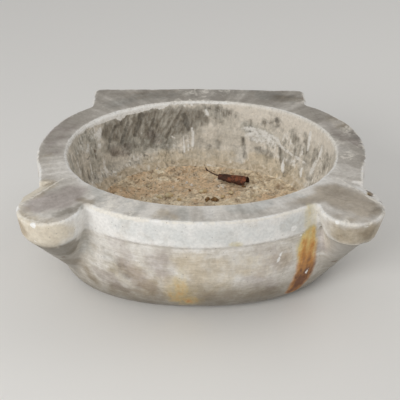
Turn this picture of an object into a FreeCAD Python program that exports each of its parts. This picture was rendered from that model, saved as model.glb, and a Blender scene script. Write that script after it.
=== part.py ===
import FreeCAD, Part
import math
import os

# A carved marble holy water stoup, millimetres, +Z up.
# One block of stone: an oval bowl with a flat rim, two round lugs at the front corners
# carried by corbels, and a squared back that stands against a wall.
# The origin is on the flat underside, below the middle of the bowl. +X is to the right of
# someone who faces the stoup, and +Y points at the wall.

V = FreeCAD.Vector

# ---- Stone: overall form ----
HEIGHT = 222.0              # underside to the flat top of the rim
OVAL_WIDTH = 600.0          # outer oval of the rim, left to right
OVAL_DEPTH = 510.0          # outer oval of the rim, front to back
WALL_SETBACK = 1.0          # flat back face, in front of the oval's rearmost point
BAND_HEIGHT = 49.0          # upright band round the rim
BAND_STEP = 3.5             # how far the band stands proud of the bowl below it

# ---- Stone: bowl outside ----
UPRIGHT_STRIP = 25.0        # upright strip between the rounded belly and the band
FOOT_SIDE_DRAW_IN = 55.0    # flat oval underside, inside the oval's sides
FOOT_END_DRAW_IN = 72.0     # flat oval underside, inside the oval's front and back
FOOT_SHIFT = -10.0          # middle of the underside oval, to the left of the origin
FOOT_SETBACK = -4.0         # middle of the underside oval, towards the wall
FOOT_EDGE_ANGLE = 14.0      # how steeply the belly leaves the underside, degrees
FOOT_SQUARENESS = 1.0       # 0.707 is a true ellipse, more fills its corners

# ---- Stone: squared back ----
BACK_LEFT_INSET = 76.0      # left side of the squared back, inside the oval's side
BACK_RIGHT_INSET = 87.0     # right side of the squared back, inside the oval's side
BACK_FRONT = 60.0           # where the squared back is buried in the bowl
BACK_CORNER = 15.0          # radius of its upright corners
BACK_DRAW_IN = 38.0         # how far each side draws in from band to underside

# ---- Stone: lugs and corbels ----
LUG_FROM_SIDE = 55.0        # centre of each lug, inside the oval's side
LUG_FROM_FRONT = 51.0       # centre of each lug, behind the oval's foremost point
LUG_RADIUS = 55.0
LUG_TAPER_LEFT = 5.0        # how much smaller the left lug is at its lower edge
LUG_TAPER_RIGHT = 12.0      # the right lug is cut back further
SHOULDER_TOUCH = 8.0        # where the rear side meets the round of the lug, degrees
BEVEL_ANGLE = 18.0          # fall of the rear bevel below level, degrees
CORBEL_DEPTH = 130.0        # corbel height below the band
CORBEL_SETBACK = 8.0        # how far a corbel's round keeps inside the lower edge of its lug
CORBEL_TIP_RADIUS = 11.0

# Places in plan by each lug, from its centre: outwards, rearwards.
SHOULDER_ROOT = (31.0, 73.0)    # corner where the lug's rear side leaves the rim
SHOULDER_LEFT = (54.0, 40.0)    # outer corner of the left lug's rear side
SHOULDER_RIGHT = (52.0, 48.0)   # the right lug is squarer there
NECK_START = (43.0, 142.0)      # where the rim's side starts to run straight to the shoulder
NECK_INNER = (-55.0, 34.0)      # the neck's inner corner, buried in the rim
RIDGE_START = (-9.0, 88.0)      # point on the rim where the rear bevel begins
RIDGE_END = (44.0, 10.0)        # end of the bevel's upper edge at the tip of the lug
CORBEL_HEAD = (-5.0, 5.0)       # where a corbel's axis meets the underside of its lug
CORBEL_TIP = (-24.0, 74.0)      # lower end of each corbel's axis

# ---- Stone: hollow ----
RIM_SIDE = 54.5             # width of the flat rim at its two sides
RIM_FRONT = 54.0            # width of the flat rim at the front
RIM_BACK = 62.0             # outer oval to the opening at the back
OPENING_SQUARENESS = 0.75   # 0.707 is a true ellipse, more fills its corners
HOLLOW_DEPTH = 150.0        # rim to the flat of the bowl's floor
WALL_DRAFT = 13.0           # how far the inside wall leans in above its rounded foot
FLOOR_ROUND_HEIGHT = 78.0   # height of the rounding between wall and floor
FLOOR_ROUND_INSET = 76.0    # reach of that rounding over the floor
LIP_WEAR = 3.0              # worn bevel round the opening

# ---- Iron stub in the right lug ----
SOCKET_ALONG = 0.70         # place of the socket along the ridge, from its start to its end
SOCKET_BEHIND = 13.0        # distance of the socket behind the ridge, down the bevel
SOCKET_RADIUS = 6.5
SOCKET_DEPTH = 26.0
STUB_RECESS = 4.5           # broken end of the iron below the bevel
BREAK_ANGLE = 14.0          # slant of the broken end, degrees

# ---- What has settled in the bowl ----
SEAT_GAP = 0.3              # clearance between a loose piece and what it lies on
CRUST_THICKNESS = 9.0       # dried silt over the middle of the floor
CRUST_RISE = 27.0           # how high the crust climbs the rounded foot of the wall
CRUST_EDGE = 5.0            # thickness of the crust at its upper edge

LEAF_LENGTH = 60.0          # blade without its stalk
LEAF_CURL_RADIUS = 10.5
LEAF_THICKNESS = 1.0
LEAF_CURL = 226.0           # how far round the blade curls, degrees
LEAF_FOLDS = 10             # flat strips that make up the curl
LEAF_PROFILE = (            # share of the blade's length, share of the curl radius there
    (0.0, 0.50),
    (0.2, 0.82),
    (0.5, 0.90),
    (0.8, 1.0),
    (1.0, 0.96),
)
LEAF_BROADEST = 6.0         # from the blade's middle to where it is broadest
LEAF_OPEN_AT_STALK = 0.7    # how much of the trough's height is open at the stalk
STALK_DIAMETER = 1.8
STALK_TO_BEND = (-20.5, 5.0, -3.5)  # from the blade to the bend in the stalk
BEND_TO_END = (-7.0, 12.0, 1.5)
LEAF_PLACE = (63.0, 92.0)      # given as the loose pieces' places are
LEAF_TURN = -6.0

# Each loose piece: place, size, turn in degrees. The place is how far it lies to the right of
# the bowl's middle and how far in front of the opening's back edge. The size is length and
# width, and on a flake or chip also height.
PEBBLES = (
    ((-65.0, 143.0), (20.0, 14.0), 14.0),
    ((-84.0, 149.0), (16.0, 11.0), -18.0),
    ((3.0, 127.0), (19.0, 11.0), 8.0),
    ((58.0, 131.0), (15.0, 10.0), -30.0),
    ((42.0, 146.0), (13.0, 9.0), 35.0),
    ((-106.0, 109.0), (12.0, 8.0), 60.0),
    ((-44.0, 157.0), (11.0, 8.0), -5.0),
)
BARK_BITS = (
    ((11.0, 155.0), (17.0, 9.0, 4.5), 62.0),
    ((26.0, 156.0), (18.0, 10.0, 5.0), -20.0),
    ((-48.0, 83.0), (9.0, 5.0, 3.0), 35.0),
    ((-24.0, 121.0), (8.0, 5.0, 3.0), -50.0),
    ((84.0, 109.0), (12.0, 5.0, 3.0), 15.0),
)
MARBLE_CHIPS = (
    ((-31.0, 94.0), (9.0, 6.0, 4.5), 20.0),
    ((-21.0, 102.0), (8.0, 7.0, 5.0), -30.0),
    ((-92.0, 65.0), (7.0, 5.0, 4.0), 50.0),
    ((34.0, 107.0), (12.0, 4.5, 4.0), -60.0),
    ((42.0, 109.0), (11.0, 4.5, 4.0), -48.0),
    ((-58.0, 109.0), (6.0, 5.0, 4.0), 0.0),
)
SHELL_PLACE = (105.0, 144.0)
SHELL_RADIUS = 4.6          # from the coil's middle to the middle of its open end
SHELL_TURNS = 1.5
SHELL_GROWTH = 2.3          # how much wider each turn is than the one inside it
SHELL_TUBE = 0.36           # tube radius as a share of its distance from the middle
SHELL_STEPS = 12            # straight lengths that follow the spiral

# Shapes of the small pieces, as shares of their own length, width and height.
PEBBLE_SIDES = 8
PEBBLE_FLATNESS = 0.62      # height as a share of the width
PEBBLE_LEVELS = ((0.0, 0.78), (0.3, 1.0), (0.75, 0.82), (1.0, 0.42))    # height, girth
FLAKE_CORNERS = ((-0.50, -0.30), (0.25, -0.50), (0.50, 0.15), (-0.20, 0.50))
FLAKE_TOP = 0.65            # girth of a bark flake's top
CHIP_CORNERS = (35.0, 128.0, 215.0, 322.0)  # degrees round an oval
CHIP_TOP = 0.45             # girth of a marble chip's blunt top
CHIP_LEAN = 0.09            # how far that top leans to one side

# ---- Worked out ----
BAND_BOTTOM = HEIGHT - BAND_HEIGHT
BELLY_HEIGHT = BAND_BOTTOM - UPRIGHT_STRIP
HALF_WIDTH = OVAL_WIDTH / 2
HALF_DEPTH = OVAL_DEPTH / 2
WALL_LINE = HALF_DEPTH - WALL_SETBACK
LUG_X = HALF_WIDTH - LUG_FROM_SIDE
LUG_Y = HALF_DEPTH - LUG_FROM_FRONT
OPENING_HALF_DEPTH = HALF_DEPTH - (RIM_FRONT + RIM_BACK) / 2
OPENING_MIDDLE = (RIM_FRONT - RIM_BACK) / 2
OPENING_BACK = OPENING_MIDDLE + OPENING_HALF_DEPTH
FLOOR_LEVEL = HEIGHT - HOLLOW_DEPTH
OVERSHOOT = 10.0            # how far a cutting shape runs past the face that it opens
BELLY_BANDS = 8             # dressed bands that make up the rounding of the belly
FLOOR_BANDS = 6             # the same for the rounding between floor and wall
TRUE_ELLIPSE = math.sqrt(0.5)
LEFT, RIGHT = -1.0, 1.0


def oval_wire(half_width, half_depth, centre_x, centre_y, squareness, level):
    """A closed level oval of four conic arcs that meet on its two axes."""
    def spot(x, y):
        return V(centre_x + x * half_width, centre_y + y * half_depth, level)
    arcs = []
    for x, y in ((1, 0), (0, 1), (-1, 0), (0, -1)):
        arc = Part.BezierCurve()
        arc.setPoles([spot(x, y), spot(x - y, y + x), spot(-y, x)])
        arc.setWeight(2, squareness)
        arcs.append(arc.toShape())
    return Part.Wire(arcs)


def rounded_loft(foot, wall, height, level, edge_angle, bands):
    """A solid that leaves a level oval, rounds upwards and ends upright at its wall oval.

    foot and wall are (half width, half depth, centre x, centre y, squareness).
    """
    start = math.radians(edge_angle)
    wires = []
    for step in range(bands + 1):
        angle = start + (math.pi / 2 - start) * step / bands
        share = (math.sin(angle) - math.sin(start)) / (1 - math.sin(start))
        rise = height * (1 - math.cos(angle) / math.cos(start))
        section = [near + (far - near) * share for near, far in zip(foot, wall)]
        wires.append(oval_wire(*section, level + rise))
    return Part.makeLoft(wires, True, True)


def straight_loft(lower, upper, low_level, high_level):
    """A solid with straight sides between two level ovals."""
    wires = [oval_wire(*lower, low_level), oval_wire(*upper, high_level)]
    return Part.makeLoft(wires, True, True)


def join(shapes):
    """One solid from several that overlap."""
    joined = shapes[0].multiFuse(shapes[1:]).removeSplitter()
    return joined.Solids[0] if len(joined.Solids) == 1 else joined


# ---- Basin ----

def outer_oval(inset):
    """The rim's outer oval, drawn in by inset."""
    return (HALF_WIDTH - inset, HALF_DEPTH - inset, 0.0, 0.0, TRUE_ELLIPSE)


def inner_oval(inset):
    """The opening's oval, drawn in by inset."""
    return (HALF_WIDTH - RIM_SIDE - inset, OPENING_HALF_DEPTH - inset, 0.0, OPENING_MIDDLE,
            OPENING_SQUARENESS)


def back_wire(inset, level):
    """The squared back in plan: straight sides, a flat face and rounded upright corners."""
    left = BACK_LEFT_INSET - HALF_WIDTH + inset
    right = HALF_WIDTH - BACK_RIGHT_INSET - inset
    corner = BACK_CORNER
    slack = corner * (1 - math.sqrt(0.5))
    front_left = V(left, BACK_FRONT, level)
    front_right = V(right, BACK_FRONT, level)
    side_left = V(left, WALL_LINE - corner, level)
    side_right = V(right, WALL_LINE - corner, level)
    face_left = V(left + corner, WALL_LINE, level)
    face_right = V(right - corner, WALL_LINE, level)
    arc_left = Part.Arc(side_left, V(left + slack, WALL_LINE - slack, level), face_left)
    arc_right = Part.Arc(face_right, V(right - slack, WALL_LINE - slack, level), side_right)
    return Part.Wire([
        Part.LineSegment(front_left, side_left).toShape(),
        arc_left.toShape(),
        Part.LineSegment(face_left, face_right).toShape(),
        arc_right.toShape(),
        Part.LineSegment(side_right, front_right).toShape(),
        Part.LineSegment(front_right, front_left).toShape(),
    ])


def by_lug(side, place, level):
    """A point beside a lug, given in plan from the lug's centre: outwards, rearwards."""
    outwards, rearwards = place
    return V(side * (LUG_X + outwards), rearwards - LUG_Y, level)


def lug_taper(side):
    """How much smaller a lug is at its lower edge."""
    return LUG_TAPER_LEFT if side == LEFT else LUG_TAPER_RIGHT


def neck_wire(side, inset, level):
    """The straight-sided neck between a lug and the rim in plan, its outer side drawn in."""
    shoulder = SHOULDER_LEFT if side == LEFT else SHOULDER_RIGHT
    touch = math.radians(SHOULDER_TOUCH)
    radius = LUG_RADIUS - inset
    places = (
        NECK_START,
        SHOULDER_ROOT,
        (shoulder[0] - inset, shoulder[1]),
        (radius * math.cos(touch), radius * math.sin(touch)),
        (0, 0),
        NECK_INNER,
        (NECK_INNER[0], NECK_START[1]),
    )
    corners = [by_lug(side, place, level) for place in places]
    return Part.makePolygon(corners + corners[:1])


def lug(side):
    """A round lug and the neck that joins it to the rim; both draw in downwards."""
    taper = lug_taper(side)
    knob = Part.makeCone(LUG_RADIUS - taper, LUG_RADIUS, BAND_HEIGHT,
                         V(side * LUG_X, -LUG_Y, BAND_BOTTOM))
    outlines = [neck_wire(side, taper, BAND_BOTTOM), neck_wire(side, 0.0, HEIGHT)]
    return [knob, Part.makeLoft(outlines, True, True)]


def ridge_frame(side):
    """Where the rear bevel's upper edge starts, its run, and the level direction behind it."""
    start = by_lug(side, RIDGE_START, HEIGHT)
    end = by_lug(side, RIDGE_END, HEIGHT)
    run = end.sub(start)
    behind = V(-side * run.y, side * run.x, 0).normalize()
    return start, run, behind


def rear_bevel(side):
    """What is cut off the rear of a lug: all above a plane that falls away behind the ridge,
    as far as the shoulder's root on the rim's side."""
    start, run, behind = ridge_frame(side)
    head = by_lug(side, SHOULDER_ROOT, HEIGHT).sub(start).normalize()
    reach = LUG_RADIUS * 2
    level = V(behind).multiply(reach)
    fall = V(0, 0, -reach * math.tan(math.radians(BEVEL_ANGLE)))
    rise = V(0, 0, OVERSHOOT)
    along = V(run).normalize()
    near = start.sub(V(along).multiply(reach))
    outline = [near, near.add(level).add(fall), near.add(level).add(rise), near.add(rise)]
    wedge = Part.Face(Part.makePolygon(outline + outline[:1]))
    wedge = wedge.extrude(V(along).multiply(reach * 3))
    base = start.add(fall).sub(rise)
    far_ridge = V(along).multiply(reach * 2)
    far_head = V(head).multiply(reach * 2)
    plan = [base, base.add(far_ridge), base.add(far_ridge).add(far_head), base.add(far_head)]
    sector = Part.Face(Part.makePolygon(plan + plan[:1])).extrude(V(0, 0, HEIGHT))
    return wedge.common(sector)


def corbel(side):
    """A leaning cone from under the lug down into the flank of the bowl."""
    tip = by_lug(side, CORBEL_TIP, BAND_BOTTOM - CORBEL_DEPTH)
    head = by_lug(side, CORBEL_HEAD, BAND_BOTTOM)
    axis = head.sub(tip)
    stretch = 1 + LUG_RADIUS / axis.Length
    radius_under_lug = LUG_RADIUS - lug_taper(side) - CORBEL_SETBACK
    head_radius = CORBEL_TIP_RADIUS + (radius_under_lug - CORBEL_TIP_RADIUS) * stretch
    cone = Part.makeCone(CORBEL_TIP_RADIUS, head_radius, axis.Length * stretch, tip, axis)
    above = Part.makeBox(OVAL_WIDTH * 2, OVAL_DEPTH * 2, HEIGHT,
                         V(-OVAL_WIDTH, -OVAL_DEPTH, BAND_BOTTOM))
    return cone.cut(above)


def hollow():
    """The space inside the bowl: a worn lip, a leaning wall and a rounded floor."""
    wall = inner_oval(WALL_DRAFT)
    floor = inner_oval(WALL_DRAFT + FLOOR_ROUND_INSET)
    wall_foot = FLOOR_LEVEL + FLOOR_ROUND_HEIGHT
    lip = inner_oval(-LIP_WEAR - OVERSHOOT)
    return join([
        rounded_loft(floor, wall, FLOOR_ROUND_HEIGHT, FLOOR_LEVEL, 0.0, FLOOR_BANDS),
        straight_loft(wall, inner_oval(0.0), wall_foot, HEIGHT),
        straight_loft(inner_oval(0.0), lip, HEIGHT - LIP_WEAR, HEIGHT + OVERSHOOT),
    ])


def socket_frame():
    """Mouth and inward direction of the socket in the right lug's rear bevel."""
    start, run, behind = ridge_frame(RIGHT)
    fall = math.radians(BEVEL_ANGLE)
    down_slope = V(behind).multiply(math.cos(fall)).add(V(0, 0, -math.sin(fall)))
    mouth = start.add(V(run).multiply(SOCKET_ALONG)).add(V(down_slope).multiply(SOCKET_BEHIND))
    inward = V(behind).multiply(-math.sin(fall)).add(V(0, 0, -math.cos(fall)))
    return mouth, inward


def basin():
    """The whole stone."""
    rim = straight_loft(outer_oval(0.0), outer_oval(0.0), BAND_BOTTOM, HEIGHT)
    squared_rim = Part.Face(back_wire(0.0, BAND_BOTTOM)).extrude(V(0, 0, BAND_HEIGHT))
    foot = (HALF_WIDTH - FOOT_SIDE_DRAW_IN, HALF_DEPTH - FOOT_END_DRAW_IN, FOOT_SHIFT,
            FOOT_SETBACK, FOOT_SQUARENESS)
    belly = rounded_loft(foot, outer_oval(BAND_STEP), BELLY_HEIGHT, 0.0, FOOT_EDGE_ANGLE,
                         BELLY_BANDS)
    upright = straight_loft(outer_oval(BAND_STEP), outer_oval(BAND_STEP), BELLY_HEIGHT, BAND_BOTTOM)
    squared_back = Part.makeLoft([
        back_wire(BAND_STEP + BACK_DRAW_IN, 0.0),
        back_wire(BAND_STEP, BAND_BOTTOM),
    ], True, True)
    pieces = [rim, squared_rim, belly, upright, squared_back]
    for side in (LEFT, RIGHT):
        pieces += lug(side)
        pieces.append(corbel(side))
    stone = join(pieces)
    behind_wall_line = Part.makeBox(OVAL_WIDTH * 2, OVAL_DEPTH, HEIGHT * 2,
                                    V(-OVAL_WIDTH, WALL_LINE, -HEIGHT / 2))
    mouth, inward = socket_frame()
    socket = Part.makeCylinder(SOCKET_RADIUS, SOCKET_DEPTH + OVERSHOOT,
                               mouth.sub(V(inward).multiply(OVERSHOOT)), inward)
    cuts = [behind_wall_line, hollow(), rear_bevel(LEFT), rear_bevel(RIGHT), socket]
    return stone.cut(cuts).removeSplitter()


# ---- Iron stub ----

def iron_stub():
    """What is left of an iron dowel: a round bar with a slanted broken end."""
    mouth, inward = socket_frame()
    radius = SOCKET_RADIUS - SEAT_GAP
    length = SOCKET_DEPTH - STUB_RECESS - SEAT_GAP
    bar = Part.makeCylinder(radius, length)
    reach = radius + OVERSHOOT
    broken_off = Part.makeBox(reach * 2, reach * 2, reach, V(-reach, -reach, -reach))
    broken_off.rotate(V(0, 0, 0), V(0, 1, 0), BREAK_ANGLE)
    broken_off.translate(V(0, 0, radius * math.tan(math.radians(BREAK_ANGLE))))
    stub = bar.cut(broken_off)
    top = mouth.add(V(inward).multiply(STUB_RECESS))
    stub.Placement = FreeCAD.Placement(top, FreeCAD.Rotation(V(0, 0, 1), inward))
    return stub


# ---- Crust and litter ----

def crust():
    """Dried silt and lime that lines the floor and the rounded foot of the wall."""
    wall = inner_oval(WALL_DRAFT + SEAT_GAP)
    floor = inner_oval(WALL_DRAFT + FLOOR_ROUND_INSET + SEAT_GAP)
    bed = rounded_loft(floor, wall, FLOOR_ROUND_HEIGHT, FLOOR_LEVEL + SEAT_GAP, 0.0, FLOOR_BANDS)
    dish_wall = inner_oval(WALL_DRAFT + SEAT_GAP + CRUST_EDGE)
    dish_floor = inner_oval(WALL_DRAFT + FLOOR_ROUND_INSET + SEAT_GAP + CRUST_THICKNESS)
    dish = rounded_loft(dish_floor, dish_wall, FLOOR_ROUND_HEIGHT - CRUST_THICKNESS,
                        FLOOR_LEVEL + CRUST_THICKNESS, 0.0, FLOOR_BANDS)
    above = Part.makeBox(OVAL_WIDTH, OVAL_DEPTH, HEIGHT,
                         V(-OVAL_WIDTH / 2, -OVAL_DEPTH / 2, FLOOR_LEVEL + CRUST_RISE))
    return bed.cut([dish, above])


def settle(piece, ground):
    """Lower a loose piece until it lies SEAT_GAP above the ground."""
    for _ in range(12):
        gap = piece.distToShape(ground)[0] - SEAT_GAP
        if gap < 0.02:
            break
        piece.translate(V(0, 0, -gap))
    return piece


def drop(piece, place, turn, ground):
    """Turn a loose piece, put it over its place and let it settle."""
    right, forwards = place
    piece.rotate(V(0, 0, 0), V(0, 0, 1), turn)
    above = FLOOR_LEVEL + CRUST_THICKNESS + LEAF_CURL_RADIUS * 2
    piece.translate(V(right, OPENING_BACK - forwards, above))
    return settle(piece, ground)


def facetted(outline, levels):
    """A closed solid with flat faces: the outline at each level, scaled by its share and moved
    along X by its lean. Each level is (height, share, lean)."""
    rings = []
    for height, share, lean in levels:
        rings.append([V(x * share + lean, y * share, height) for x, y in outline])
    faces = [Part.Face(Part.makePolygon(ring + ring[:1])) for ring in (rings[0], rings[-1])]
    for lower, upper in zip(rings, rings[1:]):
        for corner in range(len(outline)):
            after = (corner + 1) % len(outline)
            side = [lower[corner], lower[after], upper[after], upper[corner]]
            faces.append(Part.Face(Part.makePolygon(side + side[:1])))
    return Part.Solid(Part.makeShell(faces))


def spot_on_oval(length, width, degrees):
    """A corner on the oval that a small piece's plan is drawn in."""
    angle = math.radians(degrees)
    return length / 2 * math.cos(angle), width / 2 * math.sin(angle)


def pebble(size):
    """A small worn lump, widest a third of the way up."""
    length, width = size
    height = width * PEBBLE_FLATNESS
    outline = [spot_on_oval(length, width, 360 * side / PEBBLE_SIDES) for side in range(PEBBLE_SIDES)]
    return facetted(outline, [(height * rise, girth, 0) for rise, girth in PEBBLE_LEVELS])


def flake(size):
    """A flake of bark: four crooked sides and a smaller top."""
    length, width, height = size
    outline = [(length * x, width * y) for x, y in FLAKE_CORNERS]
    return facetted(outline, ((0, 1, 0), (height, FLAKE_TOP, 0)))


def chip(size):
    """A broken corner of marble: a crooked four-sided pyramid with a blunt top."""
    length, width, height = size
    outline = [spot_on_oval(length, width, corner) for corner in CHIP_CORNERS]
    return facetted(outline, ((0, 1, 0), (height, CHIP_TOP, length * CHIP_LEAN)))


def leaf():
    """A dead leaf curled into a trough, mouth down, and its bent stalk; it lies along X."""
    arch = []
    for radius, turn in ((LEAF_CURL_RADIUS, 1), (LEAF_CURL_RADIUS - LEAF_THICKNESS, -1)):
        for fold in range(LEAF_FOLDS + 1):
            angle = math.radians(LEAF_CURL) * (fold / LEAF_FOLDS - 0.5) * turn
            arch.append((radius * math.cos(angle), radius * math.sin(angle)))
    tip = LEAF_LENGTH / 2
    blade = facetted(arch, [(LEAF_LENGTH * along - tip, share, 0) for along, share in LEAF_PROFILE])
    blade.rotate(V(0, 0, 0), V(0, 1, 0), 90)
    blade.rotate(V(0, 0, 0), V(1, 0, 0), 180)
    stalk_radius = LEAF_CURL_RADIUS * LEAF_PROFILE[0][1]
    trim = [V(-tip, 0, stalk_radius * LEAF_OPEN_AT_STALK), V(LEAF_BROADEST, 0, -LEAF_CURL_RADIUS),
            V(-tip, 0, -LEAF_CURL_RADIUS * 2)]
    trim = Part.Face(Part.makePolygon(trim + trim[:1])).extrude(V(0, LEAF_CURL_RADIUS * 4, 0))
    trim.translate(V(0, -LEAF_CURL_RADIUS * 2, 0))
    root = V(-tip + STALK_DIAMETER / 2, 0, stalk_radius - LEAF_THICKNESS / 2)
    bend = root.add(V(*STALK_TO_BEND))
    end = bend.add(V(*BEND_TO_END))
    stalk = [Part.makeSphere(STALK_DIAMETER / 2, bend)]
    for start, stop in ((root, bend), (bend, end)):
        run = stop.sub(start)
        stalk.append(Part.makeCylinder(STALK_DIAMETER / 2, run.Length, start, run))
    return join([blade.cut(trim)] + stalk)


def shell():
    """A small coiled snail shell lying on its side: circles set along a growing spiral."""
    wires = []
    for step in range(SHELL_STEPS + 1):
        turn = SHELL_TURNS * step / SHELL_STEPS
        angle = 2 * math.pi * turn
        radius = SHELL_RADIUS * SHELL_GROWTH ** (turn - SHELL_TURNS)
        centre = V(radius * math.cos(angle), radius * math.sin(angle), 0)
        facing = V(-math.sin(angle), math.cos(angle), 0)
        wires.append(Part.Wire(Part.Circle(centre, facing, radius * SHELL_TUBE).toShape()))
    return Part.makeLoft(wires, True, True)


def scatter(make, pieces, ground):
    """Every loose piece of one kind, settled in its own place, as separate solids."""
    return Part.makeCompound([drop(make(size), place, turn, ground) for place, size, turn in pieces])


def main():
    ground = crust()
    nodes = {
        "basin": basin(),
        "iron_stub": iron_stub(),
        "bowl_crust": ground,
        "dry_leaf": drop(leaf(), LEAF_PLACE, LEAF_TURN, ground),
        "bark_bits": scatter(flake, BARK_BITS, ground),
        "pebbles": scatter(pebble, PEBBLES, ground),
        "marble_chips": scatter(chip, MARBLE_CHIPS, ground),
        "snail_shell": drop(shell(), SHELL_PLACE, 0.0, ground),
    }
    os.makedirs("parts", exist_ok=True)
    for name, shape in nodes.items():
        shape.exportStep("parts/%s.step" % name)
        print(name, "solids", len(shape.Solids), "volume %.1f" % shape.Volume, "valid", shape.isValid())


main()
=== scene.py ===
"""A carved marble holy water stoup, weathered outdoors, with dried silt, a dead leaf and small
litter in its bowl. Every piece is dressed round the stone's own solids, in metres, +Z up."""

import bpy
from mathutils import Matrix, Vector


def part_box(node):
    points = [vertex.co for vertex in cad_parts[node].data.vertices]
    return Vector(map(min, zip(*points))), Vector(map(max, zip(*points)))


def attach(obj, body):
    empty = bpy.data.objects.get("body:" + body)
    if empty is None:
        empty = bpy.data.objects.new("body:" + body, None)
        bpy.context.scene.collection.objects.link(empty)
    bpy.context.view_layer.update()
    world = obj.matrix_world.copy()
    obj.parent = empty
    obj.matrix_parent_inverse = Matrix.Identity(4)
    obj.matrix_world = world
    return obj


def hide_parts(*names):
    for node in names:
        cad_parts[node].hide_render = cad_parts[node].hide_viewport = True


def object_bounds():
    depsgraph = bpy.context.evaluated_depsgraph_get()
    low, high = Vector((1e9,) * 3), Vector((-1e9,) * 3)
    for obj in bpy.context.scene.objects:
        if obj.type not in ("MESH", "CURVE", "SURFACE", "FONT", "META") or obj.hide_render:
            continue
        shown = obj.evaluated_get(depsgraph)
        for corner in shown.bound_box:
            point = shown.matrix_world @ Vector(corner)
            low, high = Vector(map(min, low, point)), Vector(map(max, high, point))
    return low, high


bl_info = {
    "name": "Weathered Marble Stoup",
    "version": (1, 0, 0),
    "blender": (4, 5, 0),
    "location": "3D View > Sidebar > Stoup",
    "description": "Finishes a carved marble holy water stoup and the litter in its bowl",
    "category": "Object",
}

import math

import bmesh
import bpy
import numpy as np
from mathutils import Matrix, Vector
from mathutils.bvhtree import BVHTree

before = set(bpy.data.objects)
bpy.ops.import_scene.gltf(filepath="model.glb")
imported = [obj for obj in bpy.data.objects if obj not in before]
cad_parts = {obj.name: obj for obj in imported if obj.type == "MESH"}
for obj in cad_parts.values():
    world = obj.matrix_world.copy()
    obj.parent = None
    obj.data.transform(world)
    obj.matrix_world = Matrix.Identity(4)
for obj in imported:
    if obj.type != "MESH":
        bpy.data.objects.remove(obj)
CAD_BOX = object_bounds()

MM = 0.001

# ---- The stone's own sizes, in metres ----
RIM_LEVEL = CAD_BOX[1].z
BACK_FACE = CAD_BOX[1].y
BAND_HEIGHT = 49 * MM
OPENING_HALF_WIDTH = 245.5 * MM
OPENING_HALF_DEPTH = 197 * MM
OPENING_MIDDLE = -4 * MM        # along Y
OVAL_POWER = 2.06               # a shade fuller than an ellipse


def paint(red, green, blue):
    """A colour given from 0 to 255, as the linear colour that a shader takes."""
    linear = []
    for share in (red / 255, green / 255, blue / 255):
        linear.append(share / 12.92 if share <= 0.04045 else ((share + 0.055) / 1.055) ** 2.4)
    return (*linear, 1.0)


# ---- Settings ----

def length_setting(name, description, millimetres):
    return bpy.props.FloatProperty(name=name, description=description, default=millimetres * MM,
                                   min=0.0, unit="LENGTH", precision=5)


def share_setting(name, description, default):
    return bpy.props.FloatProperty(name=name, description=description, default=default,
                                   min=0.0, max=1.0, subtype="FACTOR")


def colour_setting(name, description, red, green, blue):
    return bpy.props.FloatVectorProperty(name=name, description=description, size=4,
                                         default=paint(red, green, blue), min=0.0, max=1.0,
                                         subtype="COLOR")


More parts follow.
